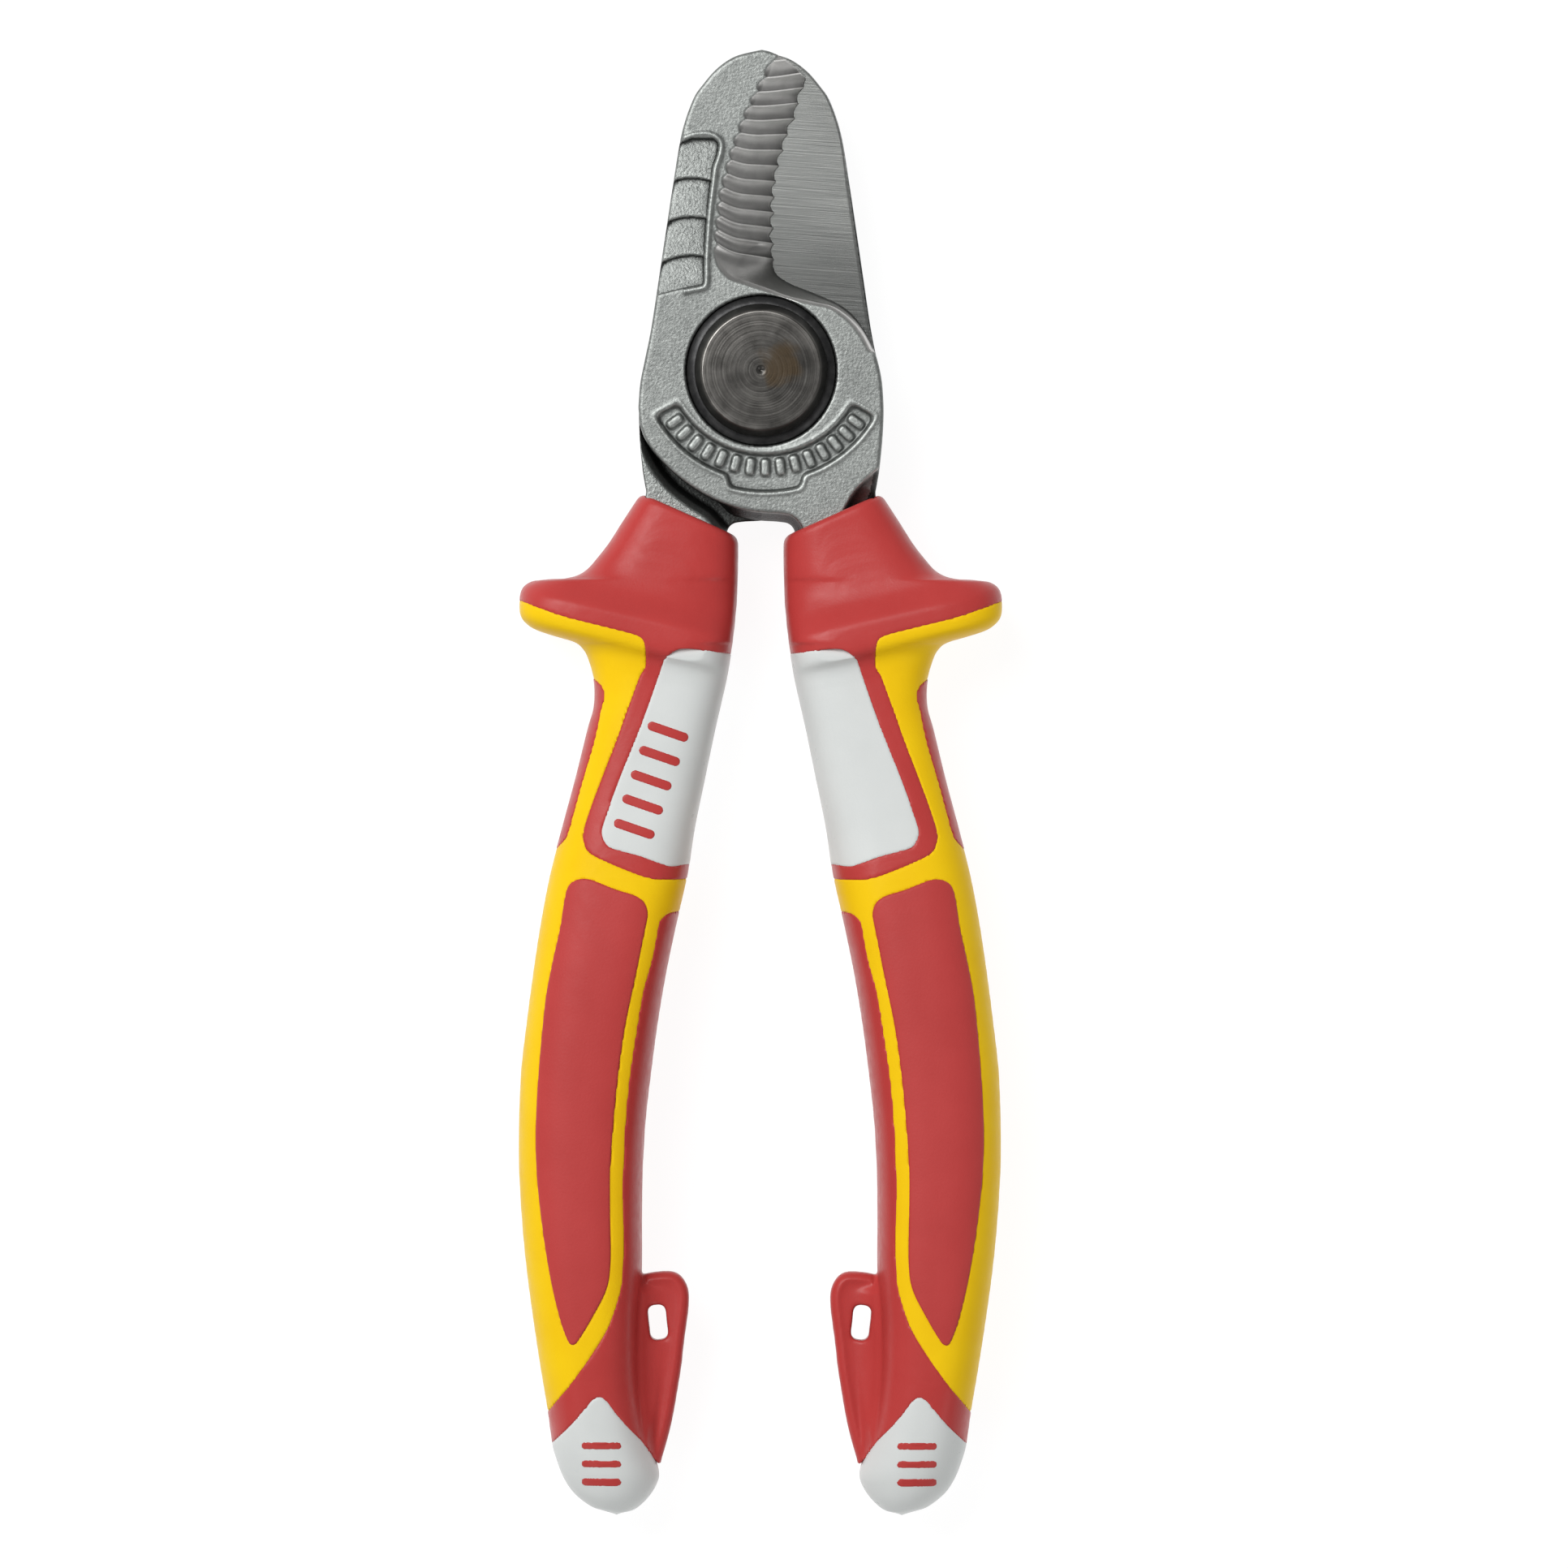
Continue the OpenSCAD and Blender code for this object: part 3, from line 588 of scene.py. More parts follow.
STEP_TOPS = [25.3, 21, 16.75, 12.55, 9.15]
STEP_WALL = [
    (-13, 26.3), (-10.5, 25), (-8.8, 24.9), (-7.3, 25.4), (-6, 25.5), (-5.1, 25.2), (-4.7, 24.6),
    (-4.9, 23.4), (-5.3, 22.2), (-5.5, 20.8), (-5.9, 17.5), (-6.1, 15), (-6.25, 12.4), (-6.3, 9.7),
    (-6.6, 9.3), (-7.6, 9.1), (-9.5, 8.7), (-11.1, 8.3), (-14, 8)
]
STEP_DEEP, STEP_SHALLOW = 0.85, 0.2
STEP_ARCH, STEP_MID_X = 0.075, -7.6  # the steps' upper edges arch over this middle
LIP_RISE, LIP_AT, LIP_SPREAD = 0.2, 0.34, 0.26


def grip_step_depth(x, y):
    """Depth of the four forged steps along the jaw's back, like overlapping tiles."""
    outline = np.vstack([curve(STEP_WALL), [(-20, 8), (-20, 26.5)]])
    inside = area_distance(x, y, outline)
    arch = y + STEP_ARCH * (x - STEP_MID_X) ** 2 * (y < 22)
    depth = np.zeros_like(inside)
    for high, low in zip(STEP_TOPS[:-1], STEP_TOPS[1:]):
        part = np.clip((high - arch) / (high - low), 0, 1)
        here = (arch <= high) & (arch > low)
        depth = np.where(here, STEP_DEEP + (STEP_SHALLOW - STEP_DEEP) * part ** 0.7, depth)
    depth = np.where(arch <= STEP_TOPS[-1], STEP_SHALLOW, depth)
    lip = LIP_RISE * np.exp(-((inside - LIP_AT) / LIP_SPREAD) ** 2) * (x > -8.5)
    return depth * (inside < 0) - lip


BAND_AT, BAND_IN, BAND_OUT, BAND_HALF = (0.45, 1.7), 10.8, 13.7, 61
TAB_HALF, TAB_IN, TAB_OUT, TAB_MID, TAB_TAPER = 4.1, 12, 14.9, 13.5, 0.25
BAND_DEPTH, BAR_RISE, BAR_COUNT = 0.45, 0.36, 15
BARS_HALF = BAND_HALF - 3.5  # the bars stop this many degrees each way
BAR_MID_R, BAR_HALF_L, BAR_HALF_W = 12.25, 0.95, 0.48
RIM_RISE, RIM_AT, RIM_SPREAD = 0.08, 0.3, 0.18
FAR = 9.0  # farther than any shape reaches


def band_depth(x, y):
    """The sunk band under the bolt, with plain radial bars standing in it."""
    u, v = x - BAND_AT[0], y - BAND_AT[1]
    r = np.hypot(u, v)
    turn = np.degrees(np.arctan2(u, -v))
    ends = (np.abs(turn) - BAND_HALF) * math.radians(1) * r
    sector = smooth_max(smooth_max(BAND_IN - r, r - BAND_OUT, 0.3), ends, 0.8)
    sides = np.abs(u) - TAB_HALF + (-v - TAB_MID) * TAB_TAPER
    tab = smooth_max(smooth_max(sides, r - TAB_OUT, 0.5), TAB_IN - r, 0.3)
    inside = smooth_min(sector, np.where(v < 0, tab, FAR), 0.4)
    pitch = 2 * BARS_HALF / BAR_COUNT
    place = (turn + BARS_HALF) / pitch
    off = np.abs(place - np.floor(place) - 0.5) * pitch * math.radians(1) * r
    bar = smooth_max(off - BAR_HALF_W, np.abs(r - BAR_MID_R) - BAR_HALF_L, 0.4)
    bar = np.where(np.abs(turn) < BARS_HALF, bar, FAR)
    depth = BAND_DEPTH * blend01(-inside, -0.1, 0.25)
    rim = RIM_RISE * np.exp(-((inside - RIM_AT) / RIM_SPREAD) ** 2)
    return depth - BAR_RISE * blend01(-bar, -0.12, 0.15) * (inside < 0) - rim


SEAT_R, SEAT_DEPTH = 8.22, 0.85  # the washer's seat
NECK_SCOOP = [(14, -13), (12.4, -14.6), (10.9, -17.5)]
SCOOP_R, SCOOP_RUN, SCOOP_DEPTH = 2.6, 2.2, 2.6


def neck_to_tang(y):
    """0 on the neck and 1 on the tang."""
    return blend01(-y, -NECK_END - 1, -NECK_END + 1)


def face_height(x, y):
    """Height of the lever's face over its whole plan."""
    top = TOP - grip_step_depth(x, y) - band_depth(x, y)
    r = np.hypot(x, y)
    top = np.where(r < SEAT_R, TOP - SEAT_DEPTH, top)
    scoop = line_distance(x, y, curve(NECK_SCOOP)) - SCOOP_R
    top = top - SCOOP_DEPTH * np.sqrt(1 - (1 - np.clip(-scoop / SCOOP_RUN, 0, 1)) ** 2)
    top = top + (TANG_HALF_T - TOP) * neck_to_tang(y)
    near = (bevel_zone(x, y) < 1) & (y > 2)
    return np.where(near, np.minimum(top, bevel_height(x, y)), top)


def bevel_zone(x, y):
    """Negative on the ground bevel."""
    outline = np.vstack([curve(FACE_EDGE), [(14, 1), (22, 8), (22, 36), (3, 37)]])
    return area_distance(x, y, outline)


SHOULDER = [(14, -5), (12.7, -7), (11.25, -10), (9.55, -12.2), (7.4, -13.9), (5.4, -15.2), (4.2, -16.5),
            (2.6, -18.5)]
SHOULDER_RUN = 0.9  # the shoulder rises over this width


def under_height(x, y):
    """Height of the lever's underside: the shear face, then the neck's raised shoulder."""
    outline = np.vstack([curve(SHOULDER), [(3, -40), (40, -40), (40, -6)]])
    neck = blend01(-area_distance(x, y, outline), 0, SHOULDER_RUN)
    low = PLAY * (1 - neck) - neck * TOP
    return low + (TOP - TANG_HALF_T) * neck_to_tang(y) * neck


LEVER_LOW, LEVER_HIGH = (-14.5, -24), (14.5, 36)
CHART_STEP = 0.07
TANG_LOW, TANG_HIGH, TANG_STEP = (0, -92), (24, -10), 0.25


def lever_chart(function):
    return charted(function, LEVER_LOW, LEVER_HIGH, CHART_STEP)


HEAD_PLAN = lever_chart(head_plan)
TANG_PLAN = charted(tang_plan, TANG_LOW, TANG_HIGH, TANG_STEP)
FACE = lever_chart(face_height)
UNDER = lever_chart(under_height)
ZONE = lever_chart(bevel_zone)
FLUTE = lever_chart(lambda x, y: flute_phase(x, y, bevel_run(x, y)))
# Worn edges and painted shade: how far the face stands above its own average, high on its worn edges and
# low in creases, where it is painted shade.
WEAR_AND_PAINTED_CREASE_SHADE = Chart(LEVER_LOW, CHART_STEP, (FACE.values - soften(FACE.values, 0.3, CHART_STEP)) / 0.2)
FACE.values = soften(FACE.values, 0.05, CHART_STEP)
UNDER.values = soften(UNDER.values, 0.25, CHART_STEP)


def steepness(chart):
    """Length of the surface for each unit of plan, to turn heights into distances."""
    gx, gy = np.gradient(chart.values, chart.step)
    return Chart(chart.low, chart.step, np.sqrt(1 + gx ** 2 + gy ** 2).astype(np.float32))


FACE_STEEP, UNDER_STEEP = steepness(FACE), steepness(UNDER)
BORE_R = 4.55
FORGED_ROUND, GROUND_ROUND = 0.45, 0.06
DRAFT, DRAFT_H = 0.32, 0.28  # chamfer along the jaw's back, at the shear face
BOSS_DRAFT = 0.8  # the boss widens towards its face, above the neck


def back_side(x, y):
    """1 along the jaw's back, fading out at its tip and on the boss."""
    return blend01(-x, 0, 3) * blend01(y, -4, 8) * (0.25 + 0.75 * blend01(26 - y, 0, 8))


def chamfer(x, y, z):
    """How far the outline draws in near the shear face."""
    return DRAFT * back_side(x, y) * np.clip((DRAFT_H - z) / DRAFT_H, 0, 1)


def lever_field(x, y, z):
    """The front lever: jaw, boss, neck and tang."""
    outline = plan(x, y) + chamfer(x, y, z)
    outline = outline - BOSS_DRAFT * blend01(-y, 13, 15) * blend01(x, -5, -3) * blend01(TOP - z, 0.5, TOP)
    roundness = np.where(ZONE(x, y) < 0.3, GROUND_ROUND, FORGED_ROUND)
    top = (z - FACE(x, y)) / FACE_STEEP(x, y)
    low = (UNDER(x, y) - z) / UNDER_STEEP(x, y)
    body = smooth_max(smooth_max(outline, top, roundness), low, 0.1)
    return smooth_max(body, BORE_R - np.hypot(x, y), 0.2)


def lever_marks(points):
    """Where the steel is brushed, fluted, rough or worn, and where light and shade are painted on it, for
    forged_steel().
    """
    x, y, z = points.T
    edge_far, zone, under = plan(x, y), ZONE(x, y), UNDER(x, y)
    wear_and_painted_shade = np.clip(WEAR_AND_PAINTED_CREASE_SHADE(x, y), -1, 1)
    bevel = blend01(-zone, -0.5, -0.3) * (edge_far < 0.5) * (y > 2)
    bevel = bevel * (z > 2 * PLAY) * (z < TOP - 0.04)
    shear = (np.abs(z - PLAY) < 0.1) * (np.hypot(x, y) < BOSS_R + 30 * (y > 0)) * 1.0
    on_top = (z > under + 0.3) * (z > FACE(x, y) - 0.25)
    wear_and_painted_shade = wear_and_painted_shade * on_top * np.where(wear_and_painted_shade > 0, 0.4 - 0.2 * bevel, 0.8)
    # Painted shade on the steel's side walls, more on the neck and the jaw's back; these walls also get a
    # coarser grain.
    coarse_wall_painted_shade = (edge_far > -0.6) * (z < TOP - 0.7) * (1 - shear) * (1 - bevel) * (z > under + 0.1)
    coarse_wall_painted_shade = coarse_wall_painted_shade * (0.5 + 0.35 * blend01(-y, 11, 14) + 0.35 * (x < 0) * blend01(22 - y, 0, 8))
    rim = np.exp(-((edge_far + 0.25) / 0.2) ** 2) * (z > TOP - 1.2) * (1 - bevel)
    true_far = edge_far + chamfer(x, y, z)
    edge = np.exp(-(true_far / 0.12) ** 2) * (z < 0.12) * (z > -0.2) * (y > 0)
    # Painted shade: the shear face is painted darker towards the throat.
    throat_painted_shade = -0.5 * blend01(21 - y, 0, 13) * shear
    # Painted shade: the neck is painted dark down in its valley beside the other lever, and painted a
    # little lighter on the shoulder's top.
    scale = -0.85 * (y < -4) * (z < 0.4) * (1 - shear) * blend01(z, -3.2, -1.6)
    scale = scale + 0.1 * (y < -4) * blend01(-z, 3, 4.4)
    rough = blend01(grip_step_depth(x, y), 0.05, 0.25) * on_top * (y > 8) + 0.8 * (y < -5) * (z < 0.4)
    flute = np.clip(FLUTE(x, y), -0.45, FLUTES + 0.05)
    return {"ground": shear, "bevel": bevel, "flute": flute, "rough": np.clip(rough + coarse_wall_painted_shade, 0, 1),
            "wear_and_painted_shade": np.clip(wear_and_painted_shade - coarse_wall_painted_shade + 0.06 * rim + 0.8 * edge + throat_painted_shade + scale, -1, 1)}


LEVER = surface(lever_field, [  # finest on the head and at the shear face
    ruler((-13.8, 14, LEVER_STEP), (14, 22, 0.5)),
    ruler((-89, -24, 0.6), (-24, 35.4, LEVER_STEP)),
    ruler((-5.6, -0.12, 0.3), (-0.12, 0.4, 0.13), (0.4, 5.5, 1.5 * LEVER_STEP)),
])
for name, body, cad, side in (("front_lever_forging", FRONT, "front_lever", "right"),
                              ("rear_lever_forging", REAR, "rear_lever", "over")):
    add_piece(name, LEVER, body, STEEL, [cad], side, lever_marks(LEVER[0]))

# ---- the grips
# Down the grip: place, then the inner side, the outer side and the half thickness.
INNER = row([
    (10, 2.5), (14, 2.5), (17, 2.5), (18.5, 2.5), (20.6, 2.5), (23.2, 2.55), (25.9, 2.7), (28.6, 2.97),
    (31.2, 3.33), (33.9, 3.8), (39.2, 5), (44.5, 6.1), (49.9, 7.2), (55.2, 8), (60.5, 9.2), (65.8, 10.3),
    (71.2, 11.2), (76.5, 11.9), (81.8, 12.5), (87.1, 12.8), (92.5, 12.9), (98, 12.9), (104, 13.2),
    (110, 13.1), (115, 12.4), (118, 11.6), (120.3, 11), (121.7, 11.3), (123.2, 12.3), (124.4, 13.7),
    (125, 15.2), (127, 19)
])
OUTER = row([
    (10, 11.5), (13, 12.9), (14.9, 14.1), (16.6, 15.2), (18.8, 16.6), (20.6, 18), (21.7, 19),
    (22.4, 20.2), (22.75, 21.9), (22.85, 23.8), (23.1, 25.2), (23.9, 26.1), (25.4, 26.35), (26.8, 26.2),
    (27.7, 25.5), (28.3, 24.5), (28.9, 22.7), (29.6, 20.4), (30.4, 19.4), (31.6, 18.8), (33.9, 18.2),
    (36.6, 18.2), (39.2, 18.9), (44.5, 20.2), (49.9, 21.65), (55.2, 23), (60.5, 24), (65.8, 24.8),
    (71.2, 25.5), (76.5, 26.1), (81.8, 26.3), (87.1, 26.3), (92.5, 26), (97.8, 25.5), (103.1, 24.8),
    (108.4, 24), (113.8, 23.1), (117.2, 22.6), (119.3, 22), (121, 21.3), (122.6, 20.2), (124, 18.4),
    (124.8, 16.4), (127, 12)
])
THICK = row([
    (8, 6.4), (15, 6.75), (20, 7.1), (23, 7.45), (24.4, 7.76), (25.3, 8.15), (26.2, 8.7), (26.9, 9.15),
    (27.4, 9.37), (28, 9.43), (29.4, 9.43), (30.2, 9.3), (30.7, 8.95), (31.1, 8.45), (31.55, 8.02),
    (32.2, 7.72), (33.1, 7.56), (34.5, 7.5), (40, 7.6), (46, 7.8), (52, 8.2), (58, 8.75), (65, 9.2),
    (73, 9.36), (85, 9.36), (95, 9.25), (103, 8.9), (110, 8.4), (115, 7.8), (119, 7), (121.5, 6),
    (123.3, 4.7), (124.6, 2.6), (125.05, 1), (127, -2)
])
LEAN = 0.23  # the guard's ridge runs down towards the inner side


def down_grip(x, y):
    """Distance down the grip for its thickness: leaning across the guard, square elsewhere."""
    return -y + LEAN * (x - 12) * blend01(-y, 14, 20) * blend01(42 + y, 0, 8)


SQUARE = row([
    (10, 3.9), (20, 3.7), (24, 3.8), (26.5, 4.6), (29.5, 4.6), (32, 3.5), (50, 3.2), (60, 3), (80, 2.9),
    (100, 2.8), (115, 2.4), (125, 2)
])
GRIP_END = -124.93
SLANT_AT, SLANT, SLANT_ROUND = (12.2, -13.8), math.radians(24), 0.8
CORE_BELOW_SLANT = 6  # the core starts this far below the sleeve's top


def grip_distance(x, y, z):
    """Distance to the grip's outer surface, negative inside."""
    d = -y
    e = 0.15
    inner, outer, thick = INNER(d), OUTER(d), THICK(down_grip(x, y))
    half, mid = (outer - inner) / 2, (outer + inner) / 2
    half_slope = ((OUTER(d + e) - OUTER(d - e)) - (INNER(d + e) - INNER(d - e))) / (4 * e)
    mid_slope = ((OUTER(d + e) - OUTER(d - e)) + (INNER(d + e) - INNER(d - e))) / (4 * e)
    thick_slope = (THICK(down_grip(x, y - e)) - THICK(down_grip(x, y + e))) / (2 * e)
    half, thick = np.maximum(half, 0.3), np.maximum(thick, 0.3)
    n = SQUARE(d)
    u, w = (x - mid) / half, z / thick
    au, aw = np.abs(u) + 1e-6, np.abs(w) + 1e-6
    q = (au ** n + aw ** n) ** (1 / n)
    du = np.sign(u) * (au / q) ** (n - 1)
    dw = np.sign(w) * (aw / q) ** (n - 1)
    slope_y = -du * (mid_slope + u * half_slope) / half - dw * w * thick_slope / thick
    size = np.sqrt((du / half) ** 2 + (dw / thick) ** 2 + slope_y ** 2)
    return (q - 1) / size


def slant(x, y):
    """Distance above the sleeve's slanted top."""
    return -(x - SLANT_AT[0]) * math.sin(SLANT) + (y - SLANT_AT[1]) * math.cos(SLANT)


def grip_body(x, y, z):
    """The whole grip, closed at both ends."""
    body = smooth_max(grip_distance(x, y, z), slant(x, y), SLANT_ROUND)
    return smooth_max(body, GRIP_END - y, SLANT_ROUND)


# The mouldings' edges as seen from above; SIDE lies well past either side of the grip.
SIDE = 40
SLEEVE_EDGE = [
    (27.5, -24.9), (26.3, -25.1), (24, -26), (21, -27), (16.6, -28.1), (13.9, -28.8), (12.9, -29.3),
    (12.55, -30.3), (12.5, -32.2), (13.1, -33.3), (13.6, -34.6), (14.8, -37.9), (16, -41.3),
    (17.4, -44.9), (18.4, -47.6), (19.2, -50.2), (19.2, -51.4), (18.6, -52.6), (16.5, -53.7),
    (13.8, -54.8), (12.3, -55.3), (10.9, -55.5), (8, -55.4), (6, -55.3)
]
LABEL_EDGE = [
    (1, -31), (3.3, -30.9), (5.1, -30.7), (8, -30.3), (9.4, -30.6), (10.4, -31.5), (10.85, -32.7),
    (11.6, -34.9), (12.7, -38), (13.8, -40.7), (15.1, -44), (16.1, -46.7), (17.05, -49.5), (17.2, -50.6),
    (16.8, -51.6), (15.8, -52.2), (12.9, -53), (11, -53.7), (9.8, -54.05), (8.6, -53.9), (7.5, -53.8),
    (5, -53.7)
]
PAD_EDGE = [
    (20.9, -56.4), (20.2, -55.7), (19.2, -55.5), (18.1, -55.7), (15.9, -56.6), (13.7, -57.3), (12.7, -58),
    (12.3, -59.2), (12.6, -61), (13.7, -66.5), (14.7, -71.3), (15.4, -76.2), (15.9, -81.1), (16.3, -86.9),
    (16.3, -92.5), (16.3, -97.6), (16.8, -100.3), (18.4, -103.4), (19.7, -105.6), (20.3, -106.1),
    (20.8, -105.7), (21.7, -103.2), (22.8, -98.4), (23.7, -92.6), (24.3, -86.1), (24.2, -79.1),
    (23.4, -69.5), (22.6, -64.8), (21.7, -60.7), (21.3, -58)
]
THUMB_EDGE = [
    (19, -33.2), (17.8, -33.9), (17.1, -34.8), (17, -35.7), (17.35, -37), (18, -40.2), (18.7, -42.6),
    (19.45, -45.2), (20.3, -48.3), (21.05, -50.8), (22.2, -52.2)
]
TAIL_EDGE = [
    (5, -59), (8.9, -59), (10.1, -59.25), (10.95, -60.1), (11.25, -61.5), (11.8, -64.3), (12.7, -67.6),
    (13.35, -71.4), (14.2, -77.2), (14.7, -83), (14.9, -88.8), (14.85, -94.6), (14.95, -98.8),
    (15.5, -101.5), (16.6, -104.5), (18.4, -107.5), (20.7, -110.7), (22, -112.3), (23.3, -114),
    (25, -116.2)
]
CAP_EDGE = [
    (25, -119.6), (22.6, -117.1), (21.6, -116.1), (20.5, -115), (19.4, -113.7), (18.3, -112.4),
    (17.5, -111.9), (16.7, -112.3), (15.5, -113.9), (13.9, -115.7), (12.7, -117), (11.4, -118.8),
    (10.7, -119.35), (8, -120)
]
FIN_EDGE = [
    (13.6, -98.8), (12.6, -98.65), (11.5, -98.45), (10.4, -98.35), (9.3, -98.45), (8.4, -99.1),
    (7.8, -100.4), (7.75, -102.2), (8.25, -106.1), (8.5, -108.4), (8.85, -110.7), (9.6, -114.9),
    (10.6, -118.6), (11.3, -120.4), (14, -119), (15, -108), (14.5, -99.5)
]


def closed_by(edge, *corners):
    """An outline from a smooth edge and the corners that close it."""
    return np.vstack([curve(edge), corners])


AREAS = {
    "sleeve": closed_by(SLEEVE_EDGE, (-SIDE, -55.3), (-SIDE, 0), (SIDE, 0), (SIDE, -24.9)),
    "label": closed_by(LABEL_EDGE, (-SIDE, -53.7), (-SIDE, -31)),
    "pad": curve(PAD_EDGE, closed=True),
    "thumb": closed_by(THUMB_EDGE, (SIDE, -52.6), (SIDE, -33.2)),
    "tail": closed_by(TAIL_EDGE, (SIDE, -116.2), (SIDE, -140), (-SIDE, -140), (-SIDE, -59)),
    "cap": closed_by(CAP_EDGE, (-SIDE, -120), (-SIDE, -150), (SIDE, -150), (SIDE, -119.6)),
    "fin": curve(FIN_EDGE, closed=True),
}
GRIP_LOW, GRIP_HIGH = (1, -127), (28, -11)
CHARTS = {name: charted(lambda x, y, o=outline: area_distance(x, y, o), GRIP_LOW, GRIP_HIGH, 0.2)
          for name, outline in AREAS.items()}

# Thickness of each moulding, and how far it stands proud of the core.
SKIN = {"sleeve": 2.0, "label": 1.2, "pad": 1.2, "thumb": 1.2, "tail": 1.2, "cap": 1.8}
PROUD = {"sleeve": 0.02, "label": 0.05, "pad": 0.12, "thumb": 0.04, "tail": 0.02, "cap": 0.05}
LAP = 0.06  # a moulding's lip lies this far over its neighbour
LIP = 0.14  # rounding of that lip
STEEL_GAP, UNDER_GAP = 0.04, 0.03  # gaps round the steel, and under a moulding
SOLID = 30  # deeper than the grip is thick


def neck_pocket(x, y, z):
    """The steel inside, grown by a hair."""
    thick = np.where(y > NECK_END, TOP, TANG_HALF_T)
    return smooth_max(plan(x, y), np.abs(z) - thick, 0.3) - STEEL_GAP


def skin_field(area, depth):
    """A moulding that fills the area, from the grip's surface down to depth."""
    def field(x, y, z):
        body = grip_body(x, y, z)
        edge = CHARTS[area](x, y) - LAP
        out = smooth_max(body - PROUD[area], edge, LIP)
        return smooth_max(out, -(body + depth), 0.1)
    return field


def room(area, x, y, z):
    """Where another moulding lies, for cutting the one beneath."""
    return np.maximum(CHARTS[area](x, y) + LAP, -(grip_body(x, y, z) + SKIN[area] + UNDER_GAP))


def sleeve_field(x, y, z):
    """The guard sleeve: solid round the neck, then a skin over the core."""
    out = skin_field("sleeve", SOLID)(x, y, z)
    inner = np.maximum(grip_body(x, y, z) + SKIN["sleeve"], slant(x, y) + CORE_BELOW_SLANT)
    out = smooth_max(out, -inner, 0.1)
    out = smooth_max(out, -neck_pocket(x, y, z), 0.3)
    return np.maximum(out, -room("label", x, y, z))


def core_field(x, y, z):
    """The yellow core, with room for the steel and for every other moulding but the label."""
    out = smooth_max(grip_body(x, y, z), slant(x, y) + CORE_BELOW_SLANT, 0.3)
    out = smooth_max(out, -neck_pocket(x, y, z), 0.1)
    for area in ("sleeve", "pad", "thumb", "tail", "cap"):
        out = np.maximum(out, -room(area, x, y, z))
    return out


FIN_HALF, FIN_ROUND = 1.9, 1.0
FIN_RIM, FIN_RIM_AT, FIN_RIM_SPREAD = 0.2, -0.75, 0.5
WEB_LOW, WEB_RISE = 0.4, 3.0  # radius between the fin and the grip
SLOT_AT, SLOT_TILT = (11.1, -103.9), math.radians(-6)
SLOT_HALF_W, SLOT_HALF_L, SLOT_ROUND = 0.98, 1.92, 0.9


def fin_field(x, y, z):
    """The tether fin, with a low rim along its free edge."""
    edge = CHARTS["fin"](x, y)
    rim = FIN_RIM * np.exp(-((edge - FIN_RIM_AT) / FIN_RIM_SPREAD) ** 2) * (x < 12.3)
    return smooth_max(edge, np.abs(z) - FIN_HALF - rim, FIN_ROUND)


def slot_field(x, y):
    """Signed distance to the tether slot."""
    u, v = x - SLOT_AT[0], y - SLOT_AT[1]
    a = u * math.cos(SLOT_TILT) + v * math.sin(SLOT_TILT)
    b = -u * math.sin(SLOT_TILT) + v * math.cos(SLOT_TILT)
    return smooth_max(np.abs(a) - SLOT_HALF_W, np.abs(b) - SLOT_HALF_L, SLOT_ROUND)


def tail_field(x, y, z):
    """The tail: a skin below the pad, one with the fin, and cut back for the end cap."""
    body = grip_body(x, y, z)
    skin = smooth_max(body - PROUD["tail"], CHARTS["tail"](x, y) - LAP, LIP)
    web = WEB_LOW + WEB_RISE * blend01(-CHARTS["fin"](x, y), 0.3, 2.4)
    both = smooth_min(skin, fin_field(x, y, z), web)
    both = smooth_max(both, -slot_field(x, y), 0.35)
    both = smooth_max(both, -(body + SKIN["tail"]), 0.1)
    return np.maximum(both, -LAP - CHARTS["cap"](x, y))


LABEL_BARS_BOX = (7, -53, 4), (17, -37, 9.6)
CAP_BARS_BOX = (14, -122.4, 2), (20.4, -116, 9)
# Middle, tilt in degrees, number, pitch, length and width of the plain bars.
BARS = {
    "label": ((11.9, -44.7), 19, 5, 2.8, 4.7, 1.05),
    "cap": ((17.2, -119.2), 0, 3, 2.0, 4.4, 0.85),
}
BAR_PROUD, BAR_DEEP = 0.1, 0.4
BAR_STEP = GRIP_STEP * 0.6


def bars_field(kind):
    """Plain parallel bars, let into the white moulding and just proud of it."""
    (cx, cy), tilt, count, pitch, length, width = BARS[kind]
    turn = math.radians(tilt)

    def field(x, y, z):
        u, v = x - cx, y - cy
        a = u * math.cos(turn) + v * math.sin(turn)
        b = -u * math.sin(turn) + v * math.cos(turn)
        place = np.clip(np.round(b / pitch + (count - 1) / 2), 0, count - 1)
        b = b - (place - (count - 1) / 2) * pitch
        ends = np.maximum(np.abs(a) - (length - width) / 2, 0)
        mark = np.hypot(ends, b) - width / 2
        body = grip_body(x, y, z)
        out = smooth_max(smooth_max(mark, body - BAR_PROUD, 0.1), -(body + BAR_DEEP), 0.05)
        return np.maximum(out, -z)
    return field


def pad_field(sign):
    """The pad on the front (sign 1) or the rear (sign -1)."""
    def field(x, y, z):
        out = skin_field("pad", SKIN["pad"])(x, y, z)
        return np.maximum(out, -sign * z)
    return field


